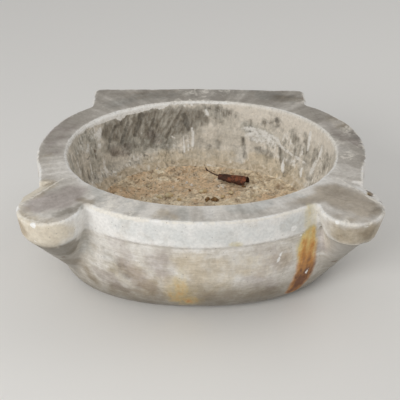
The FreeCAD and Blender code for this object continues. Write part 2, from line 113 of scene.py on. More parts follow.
class StoneSettings(bpy.types.PropertyGroup):
    """Relief and colours of the carved marble."""
    grain: length_setting("Grain", "Size of the smallest facet that is carved", 2.3)
    sway: length_setting("Sway", "How far the dressed faces wander from true", 1.0)
    roughness: length_setting("Roughness", "Depth of the hammered and weathered surface", 0.35)
    wear: share_setting("Wear", "How far the sharp edges are worn away", 0.8)
    hewn: length_setting("Hewn back", "How far the back edge falls short on the right", 7)
    triangles: bpy.props.IntProperty(name="Triangles", description="Most triangles in the stone",
                                     default=190000, min=10000, max=199000)
    light: colour_setting("Light marble", "Lightest marble", 238, 236, 232)
    clean: colour_setting("Clean marble", "Clean marble", 222, 217, 209)
    mid: colour_setting("Grey marble", "Cloudy patches in the marble", 202, 195, 183)
    dark: colour_setting("Dark marble", "Darkest clouds in the marble", 170, 161, 148)
    # The rim's colours are darker than the band's: partly the weathered top, partly painted shade on
    # the upward faces
    top_dark: colour_setting("Rim, dark", "Darkest parts of the flat top", 147, 140, 130)
    top: colour_setting("Rim", "Weathered flat top of the rim", 168, 161, 151)
    top_light: colour_setting("Rim, rubbed", "Rubbed parts of the flat top", 196, 190, 181)
    # Darker, browner lower belly: painted shade for the underside, with grime
    foot: colour_setting("Foot", "Grubby lower part of the bowl", 150, 139, 120)
    # Worn pale marble on the edges, partly a painted highlight
    edge_wear_and_highlight: colour_setting("Arris", "Cream edge where the stone is rubbed", 236, 230, 218)
    # Painted shade: the colour laid on faces that look down, in creases and in pits
    under_shade: colour_setting("Underside", "Sheltered faces below the lugs", 128, 123, 115)
    cream: colour_setting("Cream", "Thin film of lime on the inside wall", 230, 222, 209)
    wall: colour_setting("Inside wall", "Inside of the bowl where it is clean", 210, 203, 190)
    wall_dark: colour_setting("Inside wall, dark", "Duller parts of the inside wall", 180, 174, 162)
    grime: colour_setting("Grime", "Dark growth on the inside wall", 150, 146, 136)
    grime_brown: colour_setting("Brown grime", "Brown growth on the inside wall", 126, 118, 105)
    grime_deep: colour_setting("Deep grime", "Thickest of the dark growth", 68, 63, 54)
    lime: colour_setting("Lime", "Lime left by water", 240, 238, 233)
    fresh: colour_setting("Fresh bruise", "Marble bruised by a knock", 246, 245, 242)
    cool: colour_setting("Cool", "Bluish grey clouds, as a tint", 222, 227, 229)
    tan: colour_setting("Tan", "Yellow-brown tint of settled water", 231, 219, 196)
    silt: colour_setting("Silt", "Silt on the foot of the wall", 206, 189, 162)
    silt_dark: colour_setting("Silt, dark", "Damp-looking silt on the wall", 182, 165, 138)
    blot: colour_setting("Blot", "Brown blots", 98, 76, 56)
    mauve: colour_setting("Mauve", "Purple-grey clouds, as a tint", 212, 205, 206)
    umber: colour_setting("Umber", "Brownish grey handling dirt, as a tint", 206, 197, 184)
    # Partly painted shade, laid under the lugs and on their corbels, and grey dirt on other faces
    shade: colour_setting("Shade", "Grey dirt on faces that rain never washes, as a tint",
                          186, 183, 177)
    rust_gold: colour_setting("Yellow rust", "Thin rust", 228, 198, 126)
    rust: colour_setting("Rust", "Middle of a rust run", 206, 142, 62)
    rust_dark: colour_setting("Dark rust", "Oldest rust", 114, 64, 22)
    rust_pale: colour_setting("Pale rust", "Edge of a rust run", 208, 196, 152)


class SiltSettings(bpy.types.PropertyGroup):
    """The dried crust in the bowl and the grit on it."""
    grain: length_setting("Grain", "Size of the smallest facet of the crust", 1.9)
    lumps: length_setting("Lumps", "Height of the lumps", 4.2)
    lump_size: length_setting("Lump size", "Width of the lumps", 15)
    grit_count: bpy.props.IntProperty(name="Grit", description="Loose grains on the crust",
                                      default=1100, min=0, max=4000)
    grit_smallest: length_setting("Smallest grain", "Radius of the smallest grain", 0.5)
    grit_largest: length_setting("Largest grain", "Radius of the largest grain", 1.9)
    seed: bpy.props.IntProperty(name="Seed", description="Changes where the grains lie",
                                default=7, min=0)
    tan: colour_setting("Tan", "Main colour of the crust", 220, 200, 168)
    orange: colour_setting("Orange", "Iron-stained silt", 214, 176, 136)
    cream: colour_setting("Cream", "Lime in the silt", 240, 228, 204)
    grey: colour_setting("Grey", "Grey silt", 192, 176, 152)
    # Brown silt, also used for painted shade in the crust's hollows
    brown: colour_setting("Brown", "Silt in the hollows", 136, 108, 78)
    rotten: colour_setting("Rotten", "Crumbs of rotted matter", 84, 62, 42)


class LitterSettings(bpy.types.PropertyGroup):
    """The leaf and the small pieces that lie on the crust."""
    leaf_length: length_setting("Leaf", "Length of the leaf's blade", 60)
    leaf_curl: length_setting("Curl", "Radius of the curled blade", 10.5)
    leaf: colour_setting("Leaf", "Dead leaf", 134, 72, 40)
    leaf_dark: colour_setting("Leaf, dark", "Veins and folds of the leaf", 60, 32, 18)
    bark: colour_setting("Bark", "Bark bits", 152, 118, 72)
    bark_dark: colour_setting("Bark, dark", "Cracks of the bark", 98, 68, 42)
    pebble: colour_setting("Pebble", "Ochre lump", 196, 168, 122)
    pebble_pale: colour_setting("Pebble, pale", "Olive-cream lump", 214, 203, 172)
    chip: colour_setting("Chip", "Fresh break of marble", 236, 232, 226)
    shell: colour_setting("Shell", "Bleached snail shell", 214, 202, 176)
    iron: colour_setting("Iron", "Rusted iron stub", 92, 56, 34)


class StageSettings(bpy.types.PropertyGroup):
    """Floor, light and camera."""
    floor: colour_setting("Floor", "Plain pale floor", 236, 234, 230)
    key_power: bpy.props.FloatProperty(name="Key lamp", description="Power of the key lamp",
                                       default=34.0, min=0.0, unit="POWER")
    fill_power: bpy.props.FloatProperty(name="Fill lamp", description="Power of the fill lamp",
                                        default=8.0, min=0.0, unit="POWER")
    sky: share_setting("Sky", "Strength of the even light from all round", 0.5)
    lens: bpy.props.FloatProperty(name="Lens", description="Focal length of the camera",
                                  default=72.0, min=10.0, unit="CAMERA")


# ---- Numbers over a mesh ----

HASH_PRIMES = (374761393, 668265263, 2246822519, 3266489917)
HASH_MASK = 0xFFFFFFFF
SEED_STEP = 17.3            # how many cells each seed moves the lattice of the clouds
CLOUD_GAIN = 1.6            # brings the sum of the octaves to about -1 to 1
STROKE_CORE = 0.25          # share of a stroke's radius that it covers fully
PROUD_ROUNDS = 5            # rounds of smoothing that an edge is measured against
DOUBLED = 0.01 * MM         # points closer than this are one point


def mixed(low, high, share):
    return low + (high - low) * share


def eased(value, start, end):
    """0 before start, 1 after end, with a soft step between them."""
    share = np.clip((value - start) / (end - start), 0, 1)
    return share * share * (3 - 2 * share)


def peak(value, middle, width):
    """1 where the value is at the middle, falling to nothing on both sides."""
    return np.exp(-((value - middle) / width) ** 2)


def by_curve(curve, value):
    """Reads a curve given as (place, value) pairs."""
    places, values = zip(*curve)
    return np.interp(value, places, values)


def scrambled(cells, seed):
    """A fixed random number from 0 to 1 for each cell of a lattice."""
    first, second, third, fourth = HASH_PRIMES
    value = cells[:, 0] * first + cells[:, 1] * second + cells[:, 2] * third
    value = (value + seed * fourth) & HASH_MASK
    value = ((value ^ (value >> 15)) * third) & HASH_MASK
    value = ((value ^ (value >> 13)) * fourth) & HASH_MASK
    return ((value ^ (value >> 16)) & HASH_MASK) / HASH_MASK


def clouds(points, size, seed, octaves=3):
    """Smooth noise from about -1 to 1; size is the width of its largest lumps."""
    total = np.zeros(len(points))
    strength, reach = 1.0, 0.0
    for octave in range(octaves):
        cell = points / size + seed * SEED_STEP
        corner = np.floor(cell).astype(np.int64)
        part = cell - corner
        part = part * part * part * (part * (part * 6 - 15) + 10)
        for step in range(8):
            offset = np.array([step & 1, step >> 1 & 1, step >> 2])
            weight = np.prod(np.where(offset, part, 1 - part), axis=1)
            total += strength * weight * (scrambled(corner + offset, seed + octave) * 2 - 1)
        reach += strength
        strength *= 0.5
        size *= 0.5
    return total / reach * CLOUD_GAIN


def nearest_cells(points, size, seed):
    """Distance from each point to the nearest of scattered spots, in cells, and that spot's
    own random number."""
    cell = points / size
    corner = np.floor(cell).astype(np.int64)
    nearest = np.full(len(points), np.inf)
    number = np.zeros(len(points))
    for step in range(27):
        home = corner + np.array([step % 3 - 1, step // 3 % 3 - 1, step // 9 - 1])
        spot = home + np.stack([scrambled(home, seed + axis) for axis in range(3)], axis=1)
        distance = np.linalg.norm(spot - cell, axis=1)
        closer = distance < nearest
        nearest = np.where(closer, distance, nearest)
        number = np.where(closer, scrambled(home, seed + 5), number)
    return nearest, number


def strokes_over(points, strokes):
    """How strongly brush strokes cover each point. A stroke is (strength, spots) and a spot is
    (x, y, z, radius), all in millimetres."""
    cover = np.zeros(len(points))
    for strength, spots in strokes:
        spots = [np.array(spot) * MM for spot in spots]
        for start, end in zip(spots, spots[1:] or spots):
            run = end[:3] - start[:3]
            along = (points - start[:3]) @ run / max(run @ run, 1e-12)
            along = np.clip(along, 0, 1)[:, None]
            away = np.linalg.norm(points - (start[:3] + along * run), axis=1)
            radius = mixed(start[3], end[3], along[:, 0])
            cover = np.maximum(cover, strength * (1 - eased(away / radius, STROKE_CORE, 1.0)))
    return cover


def read_rows(items, name, width, kind=np.float32):
    """One value of each item of a mesh, a row to an item."""
    flat = np.empty(len(items) * width, kind)
    items.foreach_get(name, flat)
    return flat.reshape(-1, width)


def read_points(mesh):
    return read_rows(mesh.vertices, "co", 3).astype(float)


def write_points(mesh, points):
    mesh.vertices.foreach_set("co", points.astype(np.float32).ravel())
    mesh.update()


def read_normals(mesh):
    return read_rows(mesh.vertex_normals, "vector", 3).astype(float)


def read_edges(mesh):
    return read_rows(mesh.edges, "vertices", 2, np.int32)


def write_field(mesh, name, values):
    """Keep a number for each point of the mesh, for its material to read."""
    mesh.attributes.new(name, "FLOAT", "POINT").data.foreach_set("value", values.astype(np.float32))


def evened(points, edges, rounds, share=1.0):
    """The points after each has moved towards the middle of its neighbours."""
    count = len(points)
    near = np.bincount(edges.ravel(), minlength=count)[:, None]
    share = np.broadcast_to(share, count)[:, None]
    for _ in range(rounds):
        total = np.empty_like(points)
        for axis in range(3):
            column = points[:, axis]
            total[:, axis] = np.bincount(edges[:, 0], column[edges[:, 1]], count)
            total[:, axis] += np.bincount(edges[:, 1], column[edges[:, 0]], count)
        points = mixed(points, total / near, share)
    return points


def smooth_and_proud(points, edges, normals):
    """The smoothed points, and how far the points stand out of them along their normals."""
    soft = evened(points, edges, PROUD_ROUNDS)
    return soft, np.sum((points - soft) * normals, axis=1)


def merged_copy(node):
    """A closed copy of a CAD node's mesh, its doubled points merged."""
    form = bmesh.new()
    form.from_mesh(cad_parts[node].data)
    bmesh.ops.remove_doubles(form, verts=form.verts, dist=DOUBLED)
    mesh = bpy.data.meshes.new(node + "_form")
    form.to_mesh(mesh)
    form.free()
    return mesh


def add_object(name, data):
    """A new object at the origin of the scene."""
    made = bpy.data.objects.new(name, data)
    bpy.context.scene.collection.objects.link(made)
    return made


def new_mesh(name, points, faces):
    mesh = bpy.data.meshes.new(name)
    mesh.from_pydata(points, [], faces)
    return mesh


def modified(mesh, kind, values=None, **settings):
    """The mesh as one modifier leaves it. Values are for a node tree's inputs, by name."""
    holder = add_object(mesh.name, mesh)
    modifier = holder.modifiers.new(kind, kind)
    for name, value in settings.items():
        setattr(modifier, name, value)
    if values:
        for item in modifier.node_group.interface.items_tree:
            if item.in_out == "INPUT" and item.name in values:
                modifier[item.identifier] = values[item.name]
    ready = holder.evaluated_get(bpy.context.evaluated_depsgraph_get())
    made = bpy.data.meshes.new_from_object(ready)
    holder.modifiers.remove(modifier)
    bpy.data.objects.remove(holder)
    return made


def closed_mesh(name, meshes, place=Matrix()):
    """Closed meshes in one, every face turned outwards."""
    form = bmesh.new()
    for mesh in meshes:
        form.from_mesh(mesh)
    bmesh.ops.recalc_face_normals(form, faces=form.faces)
    form.transform(place)
    joined = bpy.data.meshes.new(name)
    form.to_mesh(joined)
    form.free()
    return joined


def remeshed(node, grain):
    """A CAD node's form as an even mesh."""
    return modified(merged_copy(node), "REMESH", mode="VOXEL", voxel_size=grain)


def kept_in(points, box):
    """The points, none of them outside a box."""
    return np.clip(points, np.array(box[0]), np.array(box[1]))


def place_piece(name, mesh, material, node=None):
    """A finished piece that rides on the stone and, where a CAD node is named, stands for it."""
    mesh.name = name
    mesh.materials.clear()
    mesh.materials.append(material)
    mesh.polygons.foreach_set("use_smooth", np.ones(len(mesh.polygons), bool))
    mesh.update()
    piece = add_object(name, mesh)
    if node:
        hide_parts(node)
    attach(piece, "root")


# ---- Shader building ----

def add_node(tree, kind, inputs=None, **settings):
    """A node with its settings, and its inputs linked or set."""
    made = tree.nodes.new(kind)
    for name, value in settings.items():
        setattr(made, name, value)
    for key, value in (inputs or {}).items():
        if isinstance(value, bpy.types.NodeSocket):
            tree.links.new(value, made.inputs[key])
        else:
            made.inputs[key].default_value = value
    return made


def calculate(tree, operation, first, second=0.0):
    return add_node(tree, "ShaderNodeMath", {0: first, 1: second}, operation=operation).outputs[0]


def calculate_vector(tree, operation, inputs):
    return add_node(tree, "ShaderNodeVectorMath", inputs, operation=operation).outputs[0]


def product(tree, first, *others):
    for other in others:
        first = calculate(tree, "MULTIPLY", first, other)
    return first


def remap(tree, value, low, high, new_low=0.0, new_high=1.0):
    """Value taken from one range to another, held at the ends, with a soft step."""
    inputs = {"Value": value, "From Min": low, "From Max": high,
              "To Min": new_low, "To Max": new_high}
    made = add_node(tree, "ShaderNodeMapRange", inputs, interpolation_type="SMOOTHSTEP")
    return made.outputs["Result"]


def blend_colours(tree, share, first, second, kind="MIX"):
    made = add_node(tree, "ShaderNodeMix", {0: share, 6: first, 7: second},
                    data_type="RGBA", blend_type=kind)
    return made.outputs[2]


def coated(tree, colour, coat, *masks):
    """The colour under a coat of another, which is as thick as the product of the masks."""
    return blend_colours(tree, product(tree, *masks), colour, coat)


def shaded(tree, colour, light):
    """The colour made darker or lighter by a factor."""
    grey = add_node(tree, "ShaderNodeCombineColor", {0: light, 1: light, 2: light}).outputs[0]
    return blend_colours(tree, 1.0, colour, grey, "MULTIPLY")


def weighted(tree, *terms):
    """The sum of values, each times its weight: (value, weight) pairs."""
    total = 0.0
    for value, weight in terms:
        total = add_node(tree, "ShaderNodeMath", {0: value, 1: weight, 2: total},
                         operation="MULTIPLY_ADD").outputs[0]
    return total


def ramp(tree, value, *stops, scale=1.0):
    """Colours along a value: (place, colour) pairs. Places past 1 are reached by a scale."""
    made = add_node(tree, "ShaderNodeValToRGB", {"Fac": product(tree, value, scale)})
    elements = made.color_ramp.elements
    elements.remove(elements[1])
    elements[0].position = stops[0][0] * scale
    elements[0].color = stops[0][1]
    for spot, colour in stops[1:]:
        elements.new(spot * scale).color = colour
    return made.outputs["Color"]


def noise(tree, vector, size, detail=3.0, rough=0.55, warp=0.0):
    """Noise from 0 to 1 whose lumps are about size metres wide."""
    inputs = {"Vector": vector, "Scale": 1 / size, "Detail": detail, "Roughness": rough,
              "Distortion": warp}
    return add_node(tree, "ShaderNodeTexNoise", inputs).outputs["Fac"]


def field(tree, name):
    """A number that the mesh keeps for each of its points."""
    return add_node(tree, "ShaderNodeAttribute", attribute_name=name).outputs["Fac"]


def place_of(tree):
    return add_node(tree, "ShaderNodeTexCoord").outputs["Object"]


def along_axis(tree, place, axis):
    return add_node(tree, "ShaderNodeSeparateXYZ", {0: place}).outputs[axis]


def new_group(name, inputs, outputs, kind="ShaderNodeTree"):
    """A node group, the sockets it is given and those it fills. Inputs are (name, kind,
    default) and outputs are (name, kind)."""
    group = bpy.data.node_groups.new(name, kind)
    for label, holds, default in inputs:
        socket = group.interface.new_socket(label, in_out="INPUT", socket_type="NodeSocket" + holds)
        if default is not None:
            socket.default_value = default
    for label, holds in outputs:
        group.interface.new_socket(label, in_out="OUTPUT", socket_type="NodeSocket" + holds)
    given = group.nodes.new("NodeGroupInput").outputs
    return group, given, group.nodes.new("NodeGroupOutput").inputs


def use_group(tree, group, inputs, output):
    return add_node(tree, "ShaderNodeGroup", inputs, node_tree=group).outputs[output]


EDGE_LEVEL = 0.45           # strength of a field at which its patch ends
EDGE_REACH = 0.15           # strength above which a patch may be whole


def ragged_edge_group():
    """Turns a soft field into a patch with a broken edge."""
    inputs = [("Field", "Float", 0.0), ("Vector", "Vector", None), ("Size", "Float", 0.01),
              ("Raggedness", "Float", 0.5), ("Softness", "Float", 0.2)]
    group, given, result = new_group("ragged_edge", inputs, [("Mask", "Float")])
    scale = calculate(group, "DIVIDE", 1.0, given["Size"])
    lumps = add_node(group, "ShaderNodeTexNoise",
                     {"Vector": given["Vector"], "Scale": scale, "Detail": 4.0, "Roughness": 0.6})
    shift = calculate(group, "SUBTRACT", lumps.outputs["Fac"], 0.5)
    shift = product(group, shift, given["Raggedness"], 2.0)
    value = calculate(group, "ADD", given["Field"], shift)
    low = calculate(group, "SUBTRACT", EDGE_LEVEL, given["Softness"])
    high = calculate(group, "ADD", EDGE_LEVEL, given["Softness"])
    there = remap(group, given["Field"], 0.0, EDGE_REACH)
    group.links.new(product(group, remap(group, value, low, high), there), result["Mask"])
    return group


def streak_group():
    """Runs left by water: noise drawn out downwards, leaning to one side."""
    inputs = [("Vector", "Vector", None), ("Width", "Float", 0.004), ("Stretch", "Float", 0.15),
              ("Lean", "Float", 0.0)]
    group, given, result = new_group("water_runs", inputs, [("Streak", "Float")])
    parts = add_node(group, "ShaderNodeSeparateXYZ", {0: given["Vector"]}).outputs
    across = calculate(group, "ADD", parts["X"], product(group, parts["Z"], given["Lean"]))
    height = product(group, parts["Z"], given["Stretch"])
    drawn = add_node(group, "ShaderNodeCombineXYZ", {0: across, 1: parts["Y"], 2: height})
    scale = calculate(group, "DIVIDE", 1.0, given["Width"])
    made = add_node(group, "ShaderNodeTexNoise",
                    {"Vector": drawn.outputs[0], "Scale": scale, "Detail": 3.0, "Roughness": 0.55,
                     "Distortion": 0.3})
    group.links.new(made.outputs["Fac"], result["Streak"])
    return group


def speck_group():
    """Scattered small round specks, such as pits and grains."""
    inputs = [("Vector", "Vector", None), ("Size", "Float", 0.003), ("Share", "Float", 0.3),
              ("Radius", "Float", 0.3)]
    group, given, result = new_group("specks", inputs, [("Mask", "Float")])
    scale = calculate(group, "DIVIDE", 1.0, given["Size"])
    cells = add_node(group, "ShaderNodeTexVoronoi", {"Vector": given["Vector"], "Scale": scale})
    distance = cells.outputs["Distance"]
    number = add_node(group, "ShaderNodeSeparateColor", {0: cells.outputs["Color"]}).outputs[0]
    chosen = calculate(group, "LESS_THAN", number, given["Share"])
    inner = calculate(group, "LESS_THAN", distance, given["Radius"])
    soft = remap(group, distance, given["Radius"], product(group, given["Radius"], 0.5))
    group.links.new(product(group, chosen, inner, soft), result["Mask"])
    return group


GROUP_MAKERS = {"ragged_edge": ragged_edge_group, "water_runs": streak_group, "specks": speck_group}


def shared(name):
    """A shared shader group, built the first time that a material asks for it."""
    return bpy.data.node_groups.get(name) or GROUP_MAKERS[name]()


def patch(tree, value, vector, size, raggedness=0.5, softness=0.15):
    inputs = {"Field": value, "Vector": vector, "Size": size, "Raggedness": raggedness,
              "Softness": softness}
    return use_group(tree, shared("ragged_edge"), inputs, "Mask")


def streaks(tree, vector, width, stretch=0.15, lean=0.0):
    inputs = {"Vector": vector, "Width": width, "Stretch": stretch, "Lean": lean}
    return use_group(tree, shared("water_runs"), inputs, "Streak")


def specks(tree, vector, size, share, radius=0.3):
    inputs = {"Vector": vector, "Size": size, "Share": share, "Radius": radius}
    return use_group(tree, shared("specks"), inputs, "Mask")


def finished_material(name, colour_of, rough, relief):
    """A dielectric material. colour_of(tree, place) gives colour, roughness and height sockets;
    rough is used where it gives no roughness, and relief is the depth of a full height."""
    material = bpy.data.materials.new(name)
    material.use_nodes = True
    tree = material.node_tree
    tree.nodes.clear()
    colour, roughness, height = colour_of(tree, place_of(tree))
    bump = add_node(tree, "ShaderNodeBump", {"Height": height, "Distance": relief, "Strength": 1.0})
    inputs = {"Base Color": colour, "Roughness": rough if roughness is None else roughness,
              "Normal": bump.outputs["Normal"]}
    surface = add_node(tree, "ShaderNodeBsdfPrincipled", inputs)
    add_node(tree, "ShaderNodeOutputMaterial", {"Surface": surface.outputs["BSDF"]})
    return material


# ---- The stone ----

# Stains, rubbed spots, painted shade and painted highlights on the stone: (strength, ((x, y, z,
# radius), ...)), millimetres.
RUST_RUNS = (
    (0.42, ((180, -205, 221, 16), (181, -204, 206, 18), (181, -203, 186, 20))),
    (0.35, ((172, -209, 214, 12), (174, -208, 190, 14))),
    (1.0, ((180, -201, 170, 20), (177, -201, 143, 31), (179, -197, 115, 29), (180, -192, 85, 30),
           (175, -190, 60, 32), (164, -184, 34, 24))),
    (0.45, ((50, -251, 178, 9), (62, -250, 176, 11))),
    (0.33, ((-36, -238, 68, 46), (-30, -232, 44, 54))),
    (0.30, ((-36, -246, 104, 30), (-34, -240, 76, 40))),
    (0.30, ((-33, -250, 126, 10), (-32, -246, 96, 16))),
    (0.5, ((282, -160, 216, 10),)),
)
LIP_LIME = (
    (0.7, ((-243, 10, 218, 5), (-225, 78, 217, 6), (-208, 106, 216, 9))),
    (1.0, ((-205, 108, 216, 10), (-172, 138, 216, 9), (-164, 144, 211, 11), (-150, 152, 216, 8),
           (-128, 164, 216, 9), (-100, 174, 218, 7), (-84, 180, 215, 8), (-70, 183, 218, 5))),
    (0.6, ((-70, 183, 219, 4), (-20, 192, 219, 4), (50, 188, 219, 4))),
    (0.8, ((-36, 190, 214, 3.5), (-34, 190, 213, 3.5))),
    (0.8, ((-22, 191, 214, 3.5), (-20, 191, 213, 3.5))),
    (0.45, ((-212, 92, 200, 20), (-206, 100, 190, 18))),
)
CREAM_PATCHES = (
    (0.8, ((52, 186, 210, 24), (110, 170, 205, 30), (165, 140, 206, 32), (205, 100, 206, 28),
           (234, 50, 208, 20), (243, 0, 210, 14))),
    (0.5, ((150, 150, 190, 26), (190, 116, 186, 26), (214, 80, 178, 20))),
    (0.7, ((-40, 236, 222, 4),)),
)
LIME_SPOTS = (
    (1.0, ((-199, 93, 172, 9), (-196, 90, 166, 10))),
    (0.9, ((-195, 102, 200, 14), (-198, 98, 186, 10))),
    (0.62, ((92, 168, 172, 8), (112, 162, 170, 9), (134, 152, 168, 8))),
    (0.62, ((134, 152, 166, 8), (152, 144, 162, 9), (160, 136, 150, 8), (168, 128, 146, 7))),
    (0.5, ((168, 128, 146, 7), (185, 110, 140, 6), (205, 82, 138, 6))),
    (0.55, ((100, 164, 158, 18), (140, 148, 156, 22))),
    (0.8, ((212, 92, 202, 5), (212, 90, 186, 7), (210, 88, 166, 5))),
    (0.8, ((230, 52, 192, 5), (228, 52, 176, 6), (228, 52, 160, 5))),
    (0.6, ((226, 58, 158, 9), (220, 60, 144, 12), (214, 62, 128, 9))),
    (0.7, ((232, 36, 150, 7), (228, 34, 136, 7))),
    (0.9, ((200, 96, 158, 4), (199, 96, 152, 4))),
    (0.85, ((164, 120, 124, 3), (164, 116, 112, 6), (165, 108, 100, 5))),
    (0.95, ((198, 85, 130, 3), (198, 83, 118, 6), (199, 76, 104, 4), (196, 74, 92, 4))),
    (0.9, ((-20, 180, 166, 4), (-19, 178, 148, 5), (-19, 175, 122, 3))),
    (0.7, ((-38, 176, 150, 3), (-36, 170, 116, 4))),
    (0.6, ((-29, 178, 150, 3), (-28, 172, 118, 3))),
    (0.7, ((-194, 94, 140, 5), (-192, 90, 108, 5))),
    (0.9, ((-50, 180, 189, 3.5), (-50, 180, 187, 3.5))),
    (0.7, ((-124, 160, 168, 3), (-124, 158, 165, 3))),
    (0.5, ((-226, 52, 190, 10), (-218, 66, 176, 8))),
    (0.8, ((-216, 62, 152, 5), (-214, 60, 128, 4))),
    (0.6, ((-236, 20, 176, 6), (-232, 24, 150, 5))),
    (0.6, ((-92, 164, 138, 3), (-82, 172, 150, 3), (-68, 176, 154, 3), (-56, 174, 146, 3))),
    (0.6, ((30, 186, 184, 3), (22, 184, 170, 3), (30, 184, 156, 3), (46, 182, 160, 3))),
    (0.8, ((8, 190, 202, 5), (14, 188, 192, 6))),
    (0.7, ((70, 178, 170, 3), (88, 172, 172, 4))),
)
GRIME_PATCHES = (
    (1.0, ((-184, 122, 190, 34), (-160, 140, 184, 52), (-119, 165, 178, 60), (-70, 176, 178, 58),
           (-31, 183, 180, 46), (-8, 186, 188, 30))),
    (0.6, ((-184, 112, 158, 32), (-150, 136, 146, 30), (-104, 156, 146, 28), (-60, 168, 146, 24))),
    (0.38, ((-218, 70, 168, 18), (-216, 66, 150, 20), (-212, 62, 124, 20))),
    (0.4, ((-240, 15, 192, 18), (-234, 30, 160, 22), (-224, 36, 130, 20))),
    (0.55, ((0, 190, 206, 22), (28, 188, 204, 24), (48, 184, 198, 24), (70, 180, 194, 20))),
    (0.45, ((10, 186, 186, 30), (40, 184, 184, 24))),
    (0.5, ((146, 152, 202, 20), (150, 149, 192, 24), (128, 156, 190, 16))),
    (0.4, ((34, 176, 138, 16), (20, 174, 122, 14), (-10, 176, 136, 18))),
    (0.75, ((98, 166, 190, 8), (100, 165, 172, 9), (102, 162, 150, 8))),
    (0.6, ((84, 168, 150, 8), (86, 162, 132, 10), (90, 158, 112, 9))),
    (0.6, ((120, 156, 128, 20), (140, 142, 120, 24))),
    (0.75, ((158, 136, 150, 8), (160, 130, 138, 8), (161, 118, 116, 8))),
    (0.5, ((170, 118, 140, 20), (176, 108, 112, 20))),
    (0.55, ((206, 100, 190, 14), (208, 96, 170, 16), (206, 84, 144, 18))),
    (0.55, ((182, 120, 186, 18), (190, 112, 166, 18), (192, 104, 146, 16))),
    (0.55, ((222, 66, 172, 16), (220, 60, 146, 18), (212, 60, 120, 16))),
    (0.5, ((236, 20, 186, 16), (232, 20, 158, 18))),
    (0.7, ((-84, 162, 130, 8), (-70, 166, 128, 12), (-58, 166, 130, 8))),
    (0.35, ((-228, -40, 180, 30), (-220, -20, 140, 28))),
    (0.5, ((-46, 168, 116, 8), (-34, 168, 118, 8))),
)
BLACK_MARKS = (
    (0.8, ((-122, 164, 205, 8), (-130, 160, 184, 10), (-138, 154, 164, 8))),
    (0.7, ((-146, 148, 196, 7), (-156, 140, 176, 8), (-162, 134, 158, 7))),
    (0.6, ((-172, 132, 196, 5), (-182, 120, 176, 6), (-188, 112, 154, 5))),
    (0.6, ((-98, 172, 190, 6), (-106, 168, 170, 8))),
    (0.8, ((-36, 184, 194, 9), (-32, 184, 178, 10), (-28, 182, 164, 7))),
    (0.6, ((-48, 180, 180, 9), (-54, 178, 168, 8))),
    (0.6, ((-232, 52, 168, 3), (-222, 60, 160, 4), (-212, 72, 164, 4), (-210, 76, 156, 4))),
    (0.7, ((-208, 82, 168, 4), (-208, 82, 150, 5))),
    (0.8, ((-238, 22, 166, 4), (-234, 22, 158, 4))),
    (0.6, ((-214, 66, 150, 4), (-210, 62, 118, 5))),
    (0.6, ((-222, 50, 150, 4), (-218, 48, 120, 5))),
    (0.6, ((97, 166, 180, 4), (98, 164, 164, 5))),
    (0.6, ((85, 166, 148, 5), (87, 164, 132, 5))),
    (0.6, ((158, 134, 150, 4.5), (160, 130, 136, 4))),
    (0.5, ((186, 118, 150, 4), (190, 112, 140, 4))),
    (0.6, ((152, 150, 200, 9), (154, 148, 190, 8))),
    (0.4, ((10, 190, 206, 10), (34, 187, 202, 10))),
    (0.6, ((-118, 148, 120, 5), (-112, 150, 118, 4))),
    (0.5, ((-150, 120, 112, 5),)),
)
COOL_PATCHES = (
    (0.7, ((-236, 40, 204, 30), (-216, 84, 192, 32), (-206, 92, 164, 26), (-214, 66, 130, 26))),
    (0.9, ((-236, -20, 190, 30), (-226, 0, 150, 30))),
    (0.8, ((88, 172, 176, 16), (118, 162, 166, 24), (150, 148, 156, 20))),
    (0.8, ((-150, 140, 148, 30), (-110, 158, 138, 28), (-60, 170, 140, 24))),
    (0.7, ((-180, 176, 222, 30), (-120, 215, 222, 26), (-20, 232, 222, 26))),
    (0.8, ((40, 236, 222, 24), (120, 222, 222, 30), (180, 206, 222, 30))),
    (0.9, ((-178, -146, 222, 16), (-166, -170, 222, 18))),
    (0.7, ((-120, -190, 222, 16), (-96, -212, 222, 16))),
    (0.8, ((-30, -216, 222, 15), (-24, -240, 222, 15))),
    (0.9, ((52, -214, 222, 20), (84, -214, 222, 22), (104, -196, 222, 18))),
    (0.7, ((148, -176, 222, 16), (170, -180, 222, 14))),
    (0.6, ((-130, -226, 206, 30), (-60, -246, 196, 34), (30, -252, 196, 34), (110, -232, 200, 26))),
    (1.0, ((136, -222, 200, 24), (156, -214, 196, 28))),
    (0.6, ((-196, -196, 150, 22), (-200, -196, 120, 24))),
    (0.7, ((280, 60, 218, 14), (296, 10, 218, 12), (298, -30, 216, 12))),
)
PALE_PATCHES = (
    (0.35, ((-150, -208, 196, 34), (-152, -208, 176, 26))),
    (0.55, ((-178, -194, 158, 22), (-132, -216, 158, 24), (-84, -234, 160, 20))),
    (0.8, ((-30, -252, 188, 26), (20, -254, 186, 30), (80, -247, 188, 28))),
    (0.5, ((96, -206, 222, 16), (132, -190, 222, 14))),
    (0.8, ((-196, -128, 222, 18), (-206, -104, 222, 18), (-226, -70, 222, 22))),
    (0.7, ((-140, -196, 222, 14), (-148, -178, 222, 12))),
    (0.6, ((-258, -236, 222, 16), (-272, -226, 222, 14))),
    (0.8, ((-286, -204, 222, 10), (-292, -214, 220, 10))),
    (0.6, ((10, -212, 222, 14), (14, -236, 222, 12))),
    (0.7, ((206, -120, 222, 20), (184, -146, 222, 16))),
    (0.7, ((262, -30, 222, 18), (258, 0, 222, 16))),
    (0.4, ((-250, -256, 206, 26), (-226, -250, 204, 24))),
    (0.7, ((60, -246, 140, 22), (120, -228, 138, 24))),
    (0.6, ((20, -246, 110, 22), (80, -238, 104, 22), (120, -222, 106, 20))),
    (0.6, ((204, -196, 150, 18), (214, -190, 126, 16))),
)
